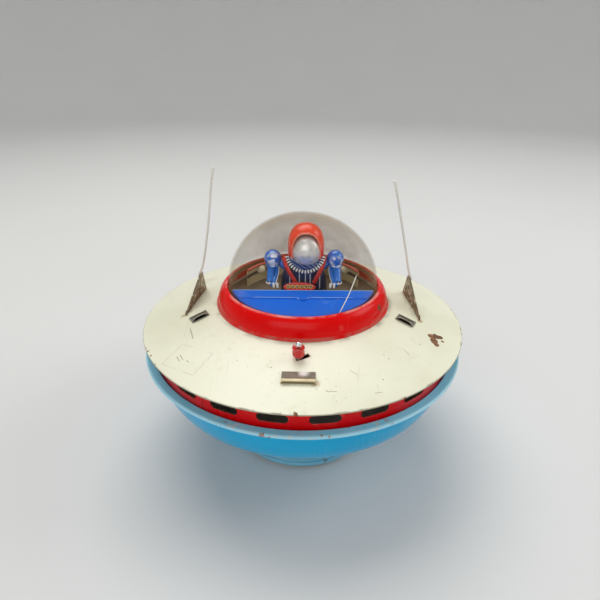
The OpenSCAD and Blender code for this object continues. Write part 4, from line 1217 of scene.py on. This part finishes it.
def add_louvre(name, node, place, look, dark_look):
    """A pressed louvre: an arched sheet that rises from the deck to an open mouth, with a dark
    sheet under it as painted shade.
    """
    on_deck = deck_frame(*place)
    wide, deep, high = 9.2, 5.7, 1.75

    def point(u, v, lift=0.0):
        arch = (1 - abs(2 * u - 1) ** 3.2) ** 0.8
        return on_deck @ Vector((
            wide * (u - 0.5) * (1 - 0.04 * v), -deep * v, 0.12 + high * arch * v ** 0.75 + lift,
        ))

    sheet = [[point(u, v) for u in shares(24)] for v in shares(14)]
    piece = add_piece(name, grid(sheet), look, replaces=[node])
    solidify(piece, 0.3, 1.0)
    lip = [point(u, 1.0, 0.1) for u in shares(24)]
    sill = [on_deck @ Vector((wide * (u - 0.5) * 1.02, -deep - 0.15, 0.3)) for u in shares(12)]
    edge = merged(sweep(lip, 0.26, 8), sweep(sill, 0.2, 8))
    add_piece(name + "_lip", edge, look)
    # A dark sheet under the arch: painted shade in the mouth.
    floor = [
        [on_deck @ Vector((wide * 0.48 * s, -deep * v, 0.08)) for s in (-1, 1)]
        for v in (0.15, 1.0)
    ]
    shade_sheet = add_piece(name + "_mouth_shade", grid(floor), dark_look)
    solidify(shade_sheet, 0.06, 1.0)


def add_louvres(look, dark_look):
    add_louvre("left_louvre", "left_scoop", (54.8, -75.6, 103.3), look, dark_look)
    add_louvre("right_louvre", "right_scoop", (54.9, 72.8, -100.4), look, dark_look)


# ---- Finishes of the separate pieces, and the pieces ----

def silvered_highlight(name, tone, at, reach_mm):
    """Plastic with bright silver round one point: partly worn plating and partly a painted
    highlight.
    """
    look = moulded(name, tone, 0.2, 0.8)
    near = look.step(look.gap(at), reach_mm * MM, reach_mm * 0.45 * MM)
    plated_highlight = look.both(near, look.patches(260, 4, 0.38, 0.5))
    look.coat(plated_highlight, (0.92, 0.95, 0.97))
    look.put("Metallic", look.both(plated_highlight, 0.25))
    return look


def pleat_look():
    look = moulded("pleat_blue", srgb(30, 62, 128), 0.3, 0.5)
    slant = look.dot(look.place, (0.5, 0.2, 0.85))
    stripes = look.step(look.calc("SINE", look.both(slant, 4200)), 0.45, 0.85)
    look.coat(stripes, srgb(176, 186, 204), 0.55)
    return look


def visor_look():
    """Bright vacuum plating, a little hazed, with fine upright lines."""
    look = Look("bright_plating", 0.4, metal=0.7)
    haze = look.noise(160, 4)
    look.colour(look.mix(haze, (0.93, 0.91, 0.86), (0.66, 0.63, 0.58)))
    lines = look.noise(1.0, 2, at=look.stretched(900, 60, 60))
    blotch = look.both(look.patches(420, 4, 0.54, 0.66), 0.35)
    look.coat(look.most(look.both(look.step(lines, 0.6, 0.7), 0.4), blotch), (0.3, 0.28, 0.26))
    look.roughness(haze, 0.34, 0.5)
    look.bump(lines, 0.02)
    return look


def add_pieces(looks):
    white = moulded("trim_white", srgb(236, 234, 222), 0.25, 0.4)
    blue = moulded("sleeve_blue", srgb(28, 116, 208), 0.25, 0.4)
    navy, strap = looks["pilot_torso"], looks["pilot_straps"]
    add_hood(looks["pilot_hood"], moulded("hood_rim_orange", srgb(246, 118, 82), 0.2, 0.8))
    add_visor(visor_look())
    add_collar(white, navy, pleat_look())
    add_torso(navy, moulded("piping_white", srgb(206, 212, 214), 0.3, 0.4))
    add_straps(strap)
    pad_blue = srgb(28, 108, 204)
    left = silvered_highlight("left_pad_blue", pad_blue, (-14.6, -2.2, 105.4), 5.6)
    right = silvered_highlight("right_pad_blue", pad_blue, (17.0, -2.0, 103.8), 5.0)
    add_arm(-1, "left", "pilot_left_arm", left, blue, white)
    add_arm(1, "right", "pilot_right_arm", right, blue, white)
    dial_dark = moulded("dial_black", (0.02, 0.018, 0.015), 0.3, 0.6)
    add_panel(strap, looks["panel_dials"], dial_dark, white)
    add_cowl_edge_highlights(moulded("highlight_pale_blue", srgb(186, 220, 246), 0.3, 0.3))
    add_dome_crack(Look("crack_white", 0.5, Base_Color=(0.9, 0.88, 0.8, 1)))
    # Window rims in red enamel paler than the band, with heavy pale patches: partly wear and partly
    # painted sheen.
    add_window_rims(red_enamel("window_edge_red_sheen", srgb(214, 30, 26), srgb(226, 160, 140), 0.7, 160))
    add_wires(looks["left_antenna_wire"])
    # The louvres' dark finish is painted shade in their mouths.
    add_louvres(looks["left_scoop"], moulded("louvre_mouth_shade", (0.012, 0.01, 0.008), 0.6, 0.0))


add_camera()
add_lights()
add_floor()
LOOKS = node_looks()
dress_nodes(LOOKS)
add_pieces(LOOKS)
